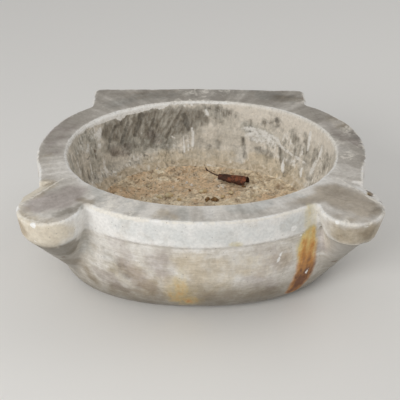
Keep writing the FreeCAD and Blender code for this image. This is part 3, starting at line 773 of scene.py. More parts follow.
TAN_PATCHES = (
    (0.7, ((-20, -250, 140, 40), (30, -248, 120, 50), (0, -240, 84, 56))),
    (0.5, ((60, -246, 128, 40), (130, -222, 122, 40))),
    (0.9, ((-40, -238, 80, 50), (-16, -234, 56, 50))),
    (0.8, ((110, 150, 106, 32), (160, 118, 104, 34), (195, 80, 106, 32))),
    (0.7, ((-110, 145, 106, 26), (-56, 162, 108, 26), (10, 168, 108, 28), (60, 160, 104, 30))),
    (0.9, ((-262, -140, 216, 26), (-284, -172, 212, 26), (-296, -200, 206, 20))),
    (0.6, ((-262, -136, 190, 26), (-278, -40, 206, 28))),
    (1.0, ((-282, -240, 196, 46), (-250, -256, 196, 46), (-226, -252, 200, 38))),
    (0.8, ((-286, -100, 190, 30), (-296, -190, 192, 30))),
    (0.6, ((-288, -212, 222, 20), (-276, -232, 222, 18))),
    (0.6, ((-130, -216, 108, 44), (-90, -232, 84, 46))),
    (0.6, ((262, 110, 222, 26), (276, 80, 222, 26))),
    (0.5, ((-60, -226, 222, 20), (-46, -236, 222, 16))),
    (0.8, ((226, -246, 196, 34), (262, -248, 196, 34), (290, -226, 192, 26))),
)
MAUVE_PATCHES = (
    (0.45, ((-132, -216, 160, 30), (-124, -220, 136, 34))),
    (0.8, ((-124, -220, 116, 30), (-108, -222, 100, 34), (-96, -226, 84, 34))),
    (0.45, ((-282, 40, 222, 34), (-262, 90, 222, 36), (-270, -20, 222, 30))),
    (0.9, ((-262, -200, 222, 36), (-234, -186, 222, 46), (-212, -160, 222, 34))),
    (0.8, ((205, -178, 150, 22), (204, -178, 128, 24))),
    (0.6, ((-70, -246, 150, 36), (-60, -246, 120, 36))),
    (0.5, ((110, -232, 150, 34), (134, -220, 120, 34))),
    (0.5, ((90, -236, 90, 40), (120, -220, 76, 34))),
    (0.7, ((282, 10, 222, 30), (266, 60, 222, 30))),
    (0.8, ((-104, 162, 160, 16), (-90, 166, 146, 15))),
    (0.6, ((-178, 118, 148, 16), (-150, 134, 140, 20))),
    (0.6, ((-170, -196, 80, 30), (-140, -208, 60, 30))),
)
UMBER_PATCHES = (
    (1.0, ((214, -160, 222, 40), (244, -190, 222, 50), (264, -214, 222, 42))),
    (1.0, ((236, -186, 222, 34), (262, -206, 222, 40))),
    (0.8, ((150, -200, 222, 18), (176, -192, 222, 20), (200, -172, 222, 26))),
    (0.6, ((210, -240, 200, 34), (250, -252, 200, 40), (292, -226, 200, 34))),
    (0.6, ((-196, -186, 222, 14), (-182, -198, 222, 12))),
    (0.9, ((-292, -236, 196, 26), (-302, -214, 200, 22))),
    (0.7, ((-100, -222, 52, 40), (-40, -238, 44, 40), (60, -240, 44, 44), (120, -212, 44, 34))),
    (0.9, ((-232, -184, 100, 24), (-214, -186, 74, 24), (-190, -186, 52, 22))),
    (0.6, ((-150, -196, 48, 34), (-90, -214, 36, 30))),
    (0.35, ((-150, 220, 222, 30), (-60, 234, 222, 26))),
    (0.6, ((160, 206, 222, 30), (200, 200, 222, 24))),
)
# Painted shade under the lugs, on their corbels and on the sloping strip of the left lug's top, with
# grey dirt on other faces
SHADE_PATCHES = (
    (0.62, ((-194, -204, 222, 11), (-208, -216, 222, 15), (-232, -230, 222, 14))),
    (1.0, ((-262, -244, 164, 16), (-230, -240, 164, 20), (-206, -230, 168, 12))),
    (1.0, ((-244, -222, 144, 20), (-220, -214, 140, 22), (-208, -212, 150, 16))),
    (1.0, ((-240, -236, 154, 22), (-214, -226, 158, 18), (-232, -216, 140, 16))),
    (0.36, ((226, -250, 200, 34), (272, -250, 198, 34))),
    (0.42, ((-150, -206, 128, 34), (-128, -214, 100, 34))),
    (0.8, ((236, -206, 164, 18), (250, -196, 158, 22), (236, -182, 132, 18))),
    (0.5, ((220, -196, 166, 10), (226, -186, 146, 16))),
    (0.6, ((-282, -60, 180, 40), (-286, -120, 180, 40))),
    (0.6, ((284, -60, 184, 36), (280, -110, 184, 36))),
    (0.5, ((286, -214, 222, 18), (272, -236, 222, 16))),
)
BRUISES = (
    (1.0, ((151, -220, 189, 8),)),
    (0.55, ((140, -224, 187, 3), (126, -227, 185, 2.4))),
    (0.8, ((133, -225, 143, 2.6), (127, -227, 124, 2.6))),
    (0.6, ((-86, -246, 221, 4), (-80, -248, 221, 3))),
    (0.8, ((-24, -256, 221, 5), (-10, -257, 221, 4))),
    (1.0, ((-298, -214, 219, 9), (-301, -203, 219, 7))),
    (1.0, ((-264, -256, 218, 8),)),
    (1.0, ((214, -250, 219, 6),)),
    (0.6, ((236, -254, 214, 3), (262, -254, 216, 3))),
    (0.8, ((236, -254, 190, 5),)),
    (0.8, ((288, -236, 196, 5),)),
    (1.0, ((-60, 238, 222, 5),)),
    (1.0, ((80, 240, 222, 4),)),
    (0.8, ((158, -213, 169, 3),)),
    (0.8, ((165, -210, 168, 3),)),
    (0.8, ((172, -207, 168, 3),)),
    (0.7, ((298, -60, 220, 5), (299, -40, 220, 4))),
    (0.8, ((-184, -204, 186, 5), (-178, -206, 184, 5))),
    (0.8, ((-252, -256, 176, 6), (-246, -258, 174, 5))),
    (0.8, ((-266, -252, 184, 4),)),
    (0.6, ((-226, -206, 148, 4),)),
    (0.8, ((198, -191, 177, 6), (196, -190, 170, 4))),
    (1.0, ((189, -192, 98, 2.6), (187, -190, 90, 2.6))),
    (1.0, ((185, -190, 82, 3), (181, -188, 74, 3))),
    (0.7, ((-112, -222, 104, 2.6), (-100, -226, 104, 2.6))),
)
# Worn lines along the ridges of the lug tops and the rim's front edge, partly painted highlights
RIDGE_WEAR_AND_HIGHLIGHTS = (
    (0.75, ((-236, -116, 221, 4), (-262, -154, 221, 4), (-280, -180, 221, 5))),
    (0.55, ((-284, -186, 221, 6), (-296, -206, 220, 6))),
    (0.8, ((-290, -232, 220, 4), (-262, -250, 220, 5), (-226, -246, 220, 4))),
    (0.5, ((236, -118, 221, 3), (262, -156, 221, 3))),
    (0.9, ((272, -172, 221, 4), (289, -193, 221, 6))),
    (0.75, ((222, -248, 220, 3), (266, -252, 220, 3))),
    (0.75, ((-60, -252, 220, 3.4), (60, -252, 220, 3.4))),
    (0.9, ((-180, -206, 218, 5), (-120, -234, 219, 6), (-84, -246, 220, 5))),
    (0.8, ((60, -252, 220, 3.4), (110, -238, 220, 4), (160, -214, 220, 4), (184, -203, 220, 6))),
)
DARK_SPOTS = (
    (0.9, ((151, -221, 189, 2.2),)),
    (0.9, ((-232, -206, 122, 7),)),
    (0.8, ((-269, -120, 216, 5), (-270, -120, 206, 4))),
    (0.5, ((-264, -44, 200, 8), (-252, -72, 150, 12))),
    (0.8, ((232, -179, 92, 8), (220, -186, 80, 6))),
    (1.0, ((284, -158, 216, 8), (280, -150, 216, 6))),
    (0.6, ((296, -186, 218, 6), (300, -204, 216, 5))),
    (0.6, ((-280, -246, 176, 5), (-270, -252, 172, 4))),
    (0.7, ((-202, 88, 112, 5), (-198, 92, 108, 4))),
    (0.5, ((-210, 84, 170, 6), (-208, 84, 160, 5))),
)

# Upright creases that a mason's tool can't reach into: (x, y, reach in millimetres, rounds of
# smoothing).
CREASES = ((-191, -198, 26, 60), (191, -198, 22, 40), (-225, 168, 34, 36), (215, 178, 26, 30))

# Chips knocked out of the stone: (x, y, z, radius) of the bite, millimetres.
CHIPS = (
    (-234, 262, 226, 19), (-210, 265, 230, 14), (-176, 266, 230, 13), (-140, 267, 230, 12),
    (-92, 268, 230, 13), (-60, 266, 230, 12), (222, 258, 230, 14), (-262, 168, 232, 15),
    (-294, -252, 228, 12), (-309, -214, 226, 13), (-286, -248, 170, 13), (-264, -262, 168, 11),
    (305, -214, 228, 13), (298, -236, 228, 12), (306, -198, 212, 10), (214, -263, 229, 10),
    (-86, -255, 229, 10), (-20, -265, 229, 10), (307, -42, 230, 12), (272, -251, 168, 10),
    (-196, 112, 229, 10), (-168, 142, 229, 10), (-156, 148, 228, 9), (-232, -239, 172, 9),
    (250, -263, 229, 10), (60, -267, 229, 9), (-128, 164, 229, 9), (252, -190, 172, 9),
)

# Upper edge of the silt on the wall: (degrees round the bowl, height in millimetres).
SILT_LINE = ((-180, 104), (-150, 96), (-90, 80), (0, 94), (30, 104), (60, 102), (90, 98),
             (110, 102), (130, 104), (150, 104), (165, 106), (180, 104))

# Where the carving changes: the start and end of each soft step, in metres.
BELLY_TOP = (150 * MM, 168 * MM)            # height: smooth belly below, plain band above
STEP_LEVEL = RIM_LEVEL - BAND_HEIGHT        # height of the step under the band
STEP_REACH = (4 * MM, 12 * MM)              # up and down from that step
LEFT_END = (-185 * MM, -150 * MM)           # along X
FRONT = (120 * MM, 150 * MM)                # forwards of the middle
SHARP = (0.25 * MM, 1.2 * MM)               # how far a sharp edge stands out
CRISP_BACK = (0.9 * BACK_FACE, BACK_FACE)   # along Y
UNDER_CRUST = (96 * MM, 108 * MM)           # height
FLAT_TOP = (0.8, 0.95)                      # upward share of the normal
HEWN_ACROSS = (-60 * MM, 215 * MM)          # along X
HEWN_BACK = (0.5 * BACK_FACE, 0.9 * BACK_FACE)
BACK_EDGE = (0.94 * BACK_FACE, BACK_FACE)
BASE_EDGE = (0.0, 3 * MM)                   # height: the underside stays flat
BELLY_ROUNDS = 30                           # rounds of smoothing

# How deep the carving goes, in metres.
LIME_DEPTH = 0.6 * MM                       # lime stands out of the wall
GROWTH_DEPTH = 0.9 * MM                     # black growth has eaten into it
EDGE_HOLLOW = 1.1 * MM                      # hollows worn in the edges
BACK_HOLLOW = 0.4 * MM                      # hollows of the back edge
CHIP_WOBBLE = 0.12                          # how far a bite is from round, as a share

# The lip, as shares of the opening: see opening_share.
LIP = (0.995, 1.02)
LIP_LIMIT = 1.03


def opening_share(points):
    """How far out each point lies in plan: 1 on the edge of the bowl's opening."""
    across = np.abs(points[:, 0]) / OPENING_HALF_WIDTH
    deep = np.abs(points[:, 1] - OPENING_MIDDLE) / OPENING_HALF_DEPTH
    return (across ** OVAL_POWER + deep ** OVAL_POWER) ** (1 / OVAL_POWER)


def inside_bowl(points, normals):
    """1 on the inside of the bowl, 0 on the rest of the stone."""
    share = opening_share(points)
    outwards = points[:, :2] - np.array([0, OPENING_MIDDLE])
    outwards /= np.linalg.norm(outwards, axis=1)[:, None] + 1e-9
    facing_in = np.sum(outwards * normals[:, :2], axis=1) < -0.1
    rising = normals[:, 2] > 0.5
    hollow = (facing_in | rising) & (share < LIP_LIMIT)
    return np.where(hollow, 1 - eased(share, *LIP), 0.0)


def bitten(points, chips):
    """The points pushed out of each chip's hollow."""
    for x, y, z, radius in chips:
        centre = np.array([x, y, z]) * MM
        away = points - centre
        distance = np.linalg.norm(away, axis=1)
        wobble = clouds(points, 6 * MM, seed=int(abs(x)), octaves=2)
        radius = radius * MM * (1 + CHIP_WOBBLE * wobble)
        inside = distance < radius
        pushed = centre + away * (radius / np.maximum(distance, 1e-9))[:, None]
        points = np.where(inside[:, None], pushed, points)
    return points


def softened(points, edges):
    """The dressed forms run into each other: no facet on the bowl, no sharp inner corner."""
    low = 1 - eased(points[:, 2], *BELLY_TOP)
    points = evened(points, edges, BELLY_ROUNDS, low * 0.9)
    points = evened(points, edges, 2, 0.5)
    left_end = 1 - eased(points[:, 0], *LEFT_END)
    near_step = 1 - eased(np.abs(points[:, 2] - STEP_LEVEL), *STEP_REACH)
    front = eased(-points[:, 1], *FRONT)
    points = evened(points, edges, BELLY_ROUNDS, left_end * near_step * front)
    for x, y, reach, rounds in CREASES:
        away = np.linalg.norm(points[:, :2] - np.array([x, y]) * MM, axis=1)
        beside = 1 - eased(away, 0.3 * reach * MM, reach * MM)
        points[:, :2] = evened(points, edges, rounds, beside)[:, :2]
    return points


def carve(mesh, settings):
    """Dresses the plain form of the stone: soft bowl, worn edges, chips and a hewn surface."""
    edges = read_edges(mesh)
    points = softened(read_points(mesh), edges)
    write_points(mesh, points)
    normals = read_normals(mesh)
    soft, proud = smooth_and_proud(points, edges, normals)
    sharp = eased(proud, *SHARP)
    patchy = eased(clouds(points, 26 * MM, seed=3), -0.3, 0.8)
    crisp_back = 1 - 0.85 * eased(points[:, 1], *CRISP_BACK)
    wear = sharp * settings.wear * mixed(0.1, 1.0, patchy) * crisp_back
    points = mixed(points, soft, wear[:, None])
    inside = inside_bowl(points, normals)
    covered = inside * (1 - eased(points[:, 2], *UNDER_CRUST))
    depth = settings.sway * (clouds(points, 90 * MM, seed=11, octaves=2) * 0.6 + 0.1)
    hammered = clouds(points, 16 * MM, seed=12, octaves=4)
    depth += settings.roughness * hammered * mixed(1.0, 2.2, inside)
    flat_top = eased(normals[:, 2], *FLAT_TOP) * (1 - inside)
    depth *= mixed(1.0, 0.5, flat_top) * (1 - covered)
    lime = strokes_over(points, LIP_LIME + LIME_SPOTS) * inside
    depth += lime * LIME_DEPTH * (clouds(points, 9 * MM, seed=21) + 0.6)
    depth -= strokes_over(points, BLACK_MARKS) * inside * GROWTH_DEPTH
    hollows = eased(clouds(points, 30 * MM, seed=31), 0.4, 0.8) * sharp
    depth -= hollows * EDGE_HOLLOW
    points = points + normals * depth[:, None]
    points = bitten(points, CHIPS)
    far_right = eased(points[:, 0], *HEWN_ACROSS)
    towards_back = eased(points[:, 1], *HEWN_BACK)
    at_back = eased(points[:, 1], *BACK_EDGE)
    points[:, 1] -= towards_back * far_right * settings.hewn
    points[:, 1] -= at_back * BACK_HOLLOW * (1 + clouds(points, 22 * MM, seed=41))
    points[:, 2] *= eased(points[:, 2], *BASE_EDGE)
    write_points(mesh, kept_in(points, CAD_BOX))


# The fields that strokes paint, all over the stone and only inside the bowl.
STROKED_FIELDS = {
    "rust": RUST_RUNS, "cool": COOL_PATCHES, "pale": PALE_PATCHES, "tan": TAN_PATCHES,
    "mauve": MAUVE_PATCHES, "umber": UMBER_PATCHES, "shade": SHADE_PATCHES, "bruise": BRUISES,
    "blot": DARK_SPOTS, "ridge_wear_and_highlight": RIDGE_WEAR_AND_HIGHLIGHTS,
}
BOWL_FIELDS = {
    "lip_lime": LIP_LIME, "cream": CREAM_PATCHES, "lime": LIME_SPOTS, "grime": GRIME_PATCHES,
    "black": BLACK_MARKS,
}

# The fields that follow from the form: the start and end of each soft step, in metres.
ARRIS = (0.3 * MM, 1.3 * MM)                # how far a rubbed edge stands out
CREASE = (0.2 * MM, 1.0 * MM)               # how far a crease lies in
LEVEL = (0.955, 0.985)                      # upward share of the normal on the flat top
SHADE_BELOW = (0.1, 0.7)                      # downward share of the normal
LIP_TOP = (RIM_LEVEL - 9 * MM, RIM_LEVEL - 2 * MM)
LIP_LEFT = (20 * MM, 120 * MM)              # along X: to its right the lip has less lime
RUBBED = (-250 * MM, 240 * MM)              # forwards: hands rub the front of the rim
RUBBED_SHARE = (1.02, 1.22)                 # outwards, as a share of the opening
SILT_EDGE = (-10 * MM, 12 * MM)             # up and down from the silt's upper edge
DRY_TURN = 78                               # degrees round the bowl to its drier part
DRY_REACH = (14, 40)                        # degrees to each side of it
DRY_BACK = (0, 0.1)                         # along Y
WET_BACK = (-0.13, 0.02)                    # along Y: water runs down the back wall


def paint_fields(mesh):
    """Keeps on the stone where each stain, rubbed edge, crease and downward face lies: stains,
    painted shade and painted highlights.
    """
    points = read_points(mesh)
    edges = read_edges(mesh)
    normals = read_normals(mesh)
    proud = smooth_and_proud(points, edges, normals)[1]
    # Edges that stand out, for worn marble and a painted highlight
    write_field(mesh, "edge_wear_and_highlight", eased(proud, *ARRIS))
    # Creases, for painted shade in them
    write_field(mesh, "crease", eased(-proud, *CREASE))
    inside = inside_bowl(points, normals)
    write_field(mesh, "bowl", inside)
    holder = mesh.copy()
    write_points(holder, evened(points, edges, 10))
    facing = read_normals(holder)
    bpy.data.meshes.remove(holder)
    write_field(mesh, "level", eased(facing[:, 2], *LEVEL) * (1 - inside))
    # Faces that look down, for painted shade under the lugs
    write_field(mesh, "shade_below", eased(-facing[:, 2], *SHADE_BELOW))
    share = opening_share(points)
    near_top = eased(points[:, 2], *LIP_TOP)
    leftwards = 1 - 0.75 * eased(points[:, 0], *LIP_LEFT)
    write_field(mesh, "lip", peak(share, LIP[0], 0.012) * near_top * leftwards)
    forwards = eased(-points[:, 1], *RUBBED)
    write_field(mesh, "rubbed", np.clip(forwards - 0.25 * eased(share, *RUBBED_SHARE), 0, 1))
    turn = np.degrees(np.arctan2(points[:, 1] - OPENING_MIDDLE, points[:, 0]))
    line = by_curve(SILT_LINE, turn) * MM
    write_field(mesh, "silted", (1 - eased(points[:, 2] - line, *SILT_EDGE)) * inside)
    dry = (1 - eased(np.abs(turn - DRY_TURN), *DRY_REACH)) * eased(points[:, 1], *DRY_BACK)
    runny = (1 - 0.75 * dry) * mixed(0.35, 1.0, eased(points[:, 1], *WET_BACK))
    write_field(mesh, "runny", runny * inside)
    for name, strokes in STROKED_FIELDS.items():
        write_field(mesh, name, strokes_over(points, strokes))
    for name, strokes in BOWL_FIELDS.items():
        write_field(mesh, name, strokes_over(points, strokes) * inside)


# Where the stone's colour changes: the start and end of each soft step, in metres.
BAND_FOOT = (0.176, 0.168)                  # height: tool marks show below the band
DARKER_FOOT = (0.11, 0.01)                  # height
ASLANT_LEFT = (-0.205, -0.165)              # along X: from here the growth runs aslant
ASLANT_RIGHT = (0.02, -0.05)                # along X: and back to here
GROWTH_LEAN = -0.42                         # how far it leans for each metre of height
RUST_FALL = (0.19, 0.05)                    # height: rust browns on its way down
RUST_ACROSS = (0.0, 0.15)                   # along X: the left runs stay yellower
RUST_EDGE = (0.165, 0.20)                   # along X: the big run is older on its right

# How each painted field lies on the stone: size of its ragged edge in metres, raggedness, softness
# and strength.
STAINS = {
    "cream": (0.018, 0.8, 0.35, 0.75),
    "grime": (0.014, 0.8, 0.3, 0.88),
    "black": (0.008, 0.9, 0.35, 0.6),
    "pale": (0.030, 0.5, 0.45, 0.5),
    "cool": (0.022, 0.9, 0.45, 0.6),
    "mauve": (0.028, 0.9, 0.45, 0.8),
    "umber": (0.028, 0.8, 0.45, 0.9),
    "tan": (0.030, 0.9, 0.45, 0.75),
    "shade": (0.018, 0.6, 0.35, 1.0),
    "lime": (0.007, 0.9, 0.25, 0.85),
    "silted": (0.014, 0.8, 0.22, 0.85),
    "ridge_wear_and_highlight": (0.010, 0.9, 0.35, 0.7),
    "blot": (0.006, 0.8, 0.35, 0.75),
    "bruise": (0.004, 0.6, 0.2, 0.9),
}
TINTS = ("cool", "mauve", "umber", "tan", "shade")


def stain(tree, place, colour, name, coat, kind="MIX"):
    """The colour with one painted field laid over it."""
    size, raggedness, softness, strength = STAINS[name]
    there = patch(tree, field(tree, name), place, size, raggedness, softness)
    return blend_colours(tree, product(tree, there, strength), colour, coat, kind)


def outside_colour(tree, place, height, settings):
    """Clouded marble: light on the band, darker at the foot with painted shade and grime, combed by
    the mason's tool.
    """
    big = noise(tree, place, 0.09, 4, 0.55, 0.8)
    middle = noise(tree, place, 0.024, 5, 0.62, 0.8)
    combed = streaks(tree, place, 0.05, 9.0)
    scratched = streaks(tree, place, 0.022, 12.0)
    below = remap(tree, height, *BAND_FOOT)
    worked = weighted(tree, (combed, 0.22), (scratched, 0.24), (-0.23, 1.0))
    cloud = weighted(tree, (big, 0.42), (middle, 0.42), (product(tree, worked, below), 1.0),
                     (below, 0.14), (-0.10, 1.0))
    colour = ramp(tree, cloud, (0.30, settings.light), (0.42, settings.clean),
                  (0.54, settings.mid), (0.70, settings.dark))
    # Darker towards the bottom: painted shade for the underside, with grime
    return coated(tree, colour, settings.foot, remap(tree, height, *DARKER_FOOT),
                  remap(tree, cloud, 0.3, 0.6, 0.5, 1.0))


def rim_colour(tree, place, settings):
    """The flat top, partly weathered colour and partly painted shade: rubbed pale at the front and
    darker towards the wall, wiped inwards.
    """
    flat = calculate_vector(tree, "MULTIPLY", {0: place, 1: (1, 1, 0)})
    spoke = calculate_vector(tree, "NORMALIZE", {0: flat})
    clouded = weighted(tree, (field(tree, "rubbed"), 0.42), (noise(tree, spoke, 0.13, 3, 0.6), 0.75),
                       (noise(tree, place, 0.04, 5, 0.62, 0.6), 0.6),
                       (noise(tree, place, 0.007, 4, 0.65), 0.25))
    return ramp(tree, clouded, (0.70, settings.top_dark), (0.88, settings.top),
                (1.06, settings.top_light), (1.24, settings.clean), scale=0.7)


def bowl_colour(tree, place, settings):
    """The inside wall: pale, with runs of lime and dark growth where water runs."""
    fine_runs = streaks(tree, place, 0.0045, 0.16)
    wide_runs = streaks(tree, place, 0.024, 0.3)
    mottle = noise(tree, place, 0.012, 5, 0.65, 0.8)
    base = weighted(tree, (mottle, 0.6), (wide_runs, 0.4))
    colour = ramp(tree, base, (0.38, settings.cream), (0.5, settings.wall),
                  (0.64, settings.wall_dark))
    clumps = noise(tree, place, 0.05, 3, 0.5, 0.4)
    runny = product(tree, field(tree, "runny"), remap(tree, clumps, 0.42, 0.56, 0.25, 1.0))
    colour = coated(tree, colour, settings.grime, remap(tree, fine_runs, 0.53, 0.58),
                    remap(tree, mottle, 0.42, 0.54), runny, 0.75)
    return coated(tree, colour, settings.lime, remap(tree, fine_runs, 0.47, 0.41),
                  remap(tree, mottle, 0.56, 0.44), runny, 0.85)


def grime_over(tree, place, colour, settings):
    """Dark growth that has run down the wall, aslant where the light side of the wall ends."""
    across = along_axis(tree, place, "X")
    aslant = product(tree, remap(tree, across, *ASLANT_LEFT), remap(tree, across, *ASLANT_RIGHT))
    slanting = weighted(tree, (streaks(tree, place, 0.014, 0.13, GROWTH_LEAN), 0.5),
                        (streaks(tree, place, 0.0055, 0.10, GROWTH_LEAN), 0.5))
    upright = weighted(tree, (streaks(tree, place, 0.009, 0.15), 0.5),
                       (streaks(tree, place, 0.004, 0.14), 0.5))
    runs = add_node(tree, "ShaderNodeMix", {0: aslant, 2: upright, 3: slanting}, data_type="FLOAT")
    mottle = noise(tree, place, 0.014, 5, 0.62, 0.6)
    value = weighted(tree, (field(tree, "grime"), 0.45), (runs.outputs[0], 3.6), (mottle, 1.5),
                     (-2.56, 1.0))
    tone = ramp(tree, value, (0.0, settings.wall_dark), (0.28, settings.grime),
                (0.6, settings.grime_brown), (1.0, settings.grime_deep))
    colour = stain(tree, place, colour, "grime", tone)
    return stain(tree, place, colour, "black", settings.grime_deep)


def rust_over(tree, place, height, colour, settings):
    """Rust that has run from above: pale and yellow where it is thin, brown low down."""
    given = field(tree, "rust")
    runs = calculate(tree, "SUBTRACT", streaks(tree, place, 0.011, 0.2), 0.5)
    grain = calculate(tree, "SUBTRACT", noise(tree, place, 0.016, 5, 0.6), 0.5)
    rust = weighted(tree, (given, 1.0), (runs, 0.5), (grain, 0.5))
    across = along_axis(tree, place, "X")
    low = product(tree, remap(tree, height, *RUST_FALL),
                  remap(tree, across, *RUST_ACROSS, 0.45, 1.0))
    age = weighted(tree, (given, 0.3), (low, 0.62), (remap(tree, across, *RUST_EDGE), 0.12),
                   (runs, 0.8), (grain, 0.6), (-0.06, 1.0))
    tone = ramp(tree, age, (0.12, settings.rust_pale), (0.34, settings.rust_gold),
                (0.58, settings.rust), (0.9, settings.rust_dark))
    return coated(tree, colour, tone, remap(tree, rust, 0.0, 0.78), remap(tree, given, 0.0, 0.4),
                  0.95)


def stained(tree, place, colour, settings):
    """The tints, among them the shade tint that is partly painted shade, growth, lime and silt that
    lie over the bare stone.
    """
    colour = stain(tree, place, colour, "cream", settings.cream)
    colour = grime_over(tree, place, colour, settings)
    colour = stain(tree, place, colour, "pale", settings.light)
    for tint in TINTS:
        colour = stain(tree, place, colour, tint, getattr(settings, tint), "MULTIPLY")
    lip_lime = patch(tree, field(tree, "lip_lime"), place, 0.012, 0.9, 0.16)
    thick = remap(tree, noise(tree, place, 0.006, 4, 0.7), 0.36, 0.5, 0.6, 1.0)
    colour = coated(tree, colour, settings.lime, lip_lime, thick)
    colour = stain(tree, place, colour, "lime", settings.lime)
    silt = ramp(tree, noise(tree, place, 0.012, 5, 0.7, 0.6), (0.34, settings.cream),
                (0.46, settings.silt), (0.58, settings.silt_dark), (0.68, settings.grime_brown))
    return stain(tree, place, colour, "silted", silt)


def worn(tree, place, colour, middle, fine, settings):
    """Painted shade under the lugs and in the creases, cream on the rubbed edges, partly a painted
    highlight, and lime on the lip.
    """
    # Painted shade on faces that look down, under the lugs
    colour = coated(tree, colour, settings.under_shade, field(tree, "shade_below"), 0.7)
    # Painted shade in the creases
    colour = coated(tree, colour, settings.under_shade, field(tree, "crease"),
                    remap(tree, middle, 0.35, 0.65, 0.1, 0.55))
    # Cream on edges that stand out: worn marble and a painted highlight
    colour = coated(tree, colour, settings.edge_wear_and_highlight, remap(tree, middle, 0.44, 0.6),
                    remap(tree, fine, 0.4, 0.56, 0.3, 0.8), field(tree, "edge_wear_and_highlight"))
    # Worn ridges, partly painted highlights
    colour = stain(tree, place, colour, "ridge_wear_and_highlight", settings.edge_wear_and_highlight)
    return coated(tree, colour, settings.lime, field(tree, "lip"),
                  remap(tree, fine, 0.35, 0.6, 0.35, 0.95))


def marble_colour(settings):
    """Clouded marble, weathered and partly painted shade on top, stained inside, streaked with rust,
    with painted shade below and painted highlights on its edges.
    """
    def build(tree, place):
        middle = noise(tree, place, 0.02, 4, 0.6, 0.4)
        fine = noise(tree, place, 0.005, 4, 0.62)
        height = along_axis(tree, place, "Z")
        colour = outside_colour(tree, place, height, settings)
        # The flat top in the rim's colours: weathered, and partly painted shade
        colour = coated(tree, colour, rim_colour(tree, place, settings), field(tree, "level"))
        colour = coated(tree, colour, bowl_colour(tree, place, settings), field(tree, "bowl"))
        colour = stained(tree, place, colour, settings)
        colour = worn(tree, place, colour, middle, fine, settings)
        colour = rust_over(tree, place, height, colour, settings)
        colour = stain(tree, place, colour, "blot", settings.blot)
        colour = stain(tree, place, colour, "bruise", settings.fresh)
        # Dark pits, in the same colour as the painted shade under the lugs
        freckles = specks(tree, place, 0.006, 0.14, 0.2)
        colour = coated(tree, colour, settings.under_shade, freckles, 0.5)
        colour = shaded(tree, colour, remap(tree, fine, 0.3, 0.7, 0.91, 1.06))
        relief = weighted(tree, (fine, 0.5), (noise(tree, place, 0.011, 4, 0.6), 1.0),
                          (freckles, -0.6))
        return colour, remap(tree, middle, 0.3, 0.7, 0.45, 0.7), relief
    return build


class STOUP_OT_carve_stone(bpy.types.Operator):
    """Carve, wear and stain the stone basin"""
    bl_idname = "stoup.carve_stone"
    bl_label = "Carve stone"

    def execute(self, context):
        settings = context.scene.stoup_stone
        mesh = remeshed("basin", settings.grain)
        carve(mesh, settings)
        triangles = sum(len(face.vertices) - 2 for face in mesh.polygons)
        if triangles > settings.triangles:
            mesh = modified(mesh, "DECIMATE", ratio=settings.triangles / triangles)
            write_points(mesh, kept_in(read_points(mesh), CAD_BOX))
        paint_fields(mesh)
        finish = finished_material("weathered_marble", marble_colour(settings), rough=0.6,
                                   relief=0.5 * MM)
        place_piece("stone_basin", mesh, finish, "basin")
        return {"FINISHED"}


# ---- Crust and grit ----

def crust_colour(settings):
    """Silt in tan, orange, cream and grey, with painted shade in its hollows."""
    def build(tree, place):
        big = noise(tree, place, 0.07, 3, 0.5, 0.5)
        middle = noise(tree, place, 0.016, 5, 0.65, 0.6)
        fine = noise(tree, place, 0.0035, 4, 0.65)
        colour = ramp(tree, middle, (0.34, settings.cream), (0.47, settings.tan),
                      (0.60, settings.grey), (0.72, settings.brown))
        colour = coated(tree, colour, settings.orange, remap(tree, big, 0.44, 0.56),
                        remap(tree, middle, 0.64, 0.44), 0.6)
        colour = coated(tree, colour, settings.cream,
                        remap(tree, field(tree, "lump"), 0.4, 0.9, 0.0, 0.85))
        # Painted shade in the crust's hollows, in the brown of the silt
        colour = coated(tree, colour, settings.brown, field(tree, "hollow_shade"),
                        remap(tree, middle, 0.38, 0.55, 0.3, 1.0), 0.55)
        spots = specks(tree, place, 0.008, 0.3, 0.32)
        colour = coated(tree, colour, settings.rotten, spots, 0.6)
        pale = specks(tree, place, 0.006, 0.2, 0.32)
        colour = coated(tree, colour, settings.cream, pale, 0.7)
        colour = shaded(tree, colour, remap(tree, fine, 0.36, 0.64, 0.85, 1.18))
        return colour, None, weighted(tree, (fine, 1.0), (pale, 0.5), (spots, -0.8))
    return build


def grit_colour(settings):
    """Each grain in its own shade, from cream to brown."""
    def build(tree, place):
        shade = field(tree, "shade")
        colour = blend_colours(tree, remap(tree, shade, 0.0, 0.5), settings.brown, settings.tan)
        colour = coated(tree, colour, settings.cream, remap(tree, shade, 0.45, 1.0))
        return colour, None, noise(tree, place, 0.0012, 3)
    return build


CRUST_TOP = (0.15, 0.5)                     # upward share of the normal on the crust's top
CRUST_FEATHER = (86 * MM, 99 * MM)          # heights over which it thins out up the wall
CRUST_EDGE = 5 * MM                         # how far that wanders up and down
CRUST_FILM = 0.04                           # what is left of it above, as a share
CRUMB_SIZE = 0.45                           # width of the small lumps, as a share of the large


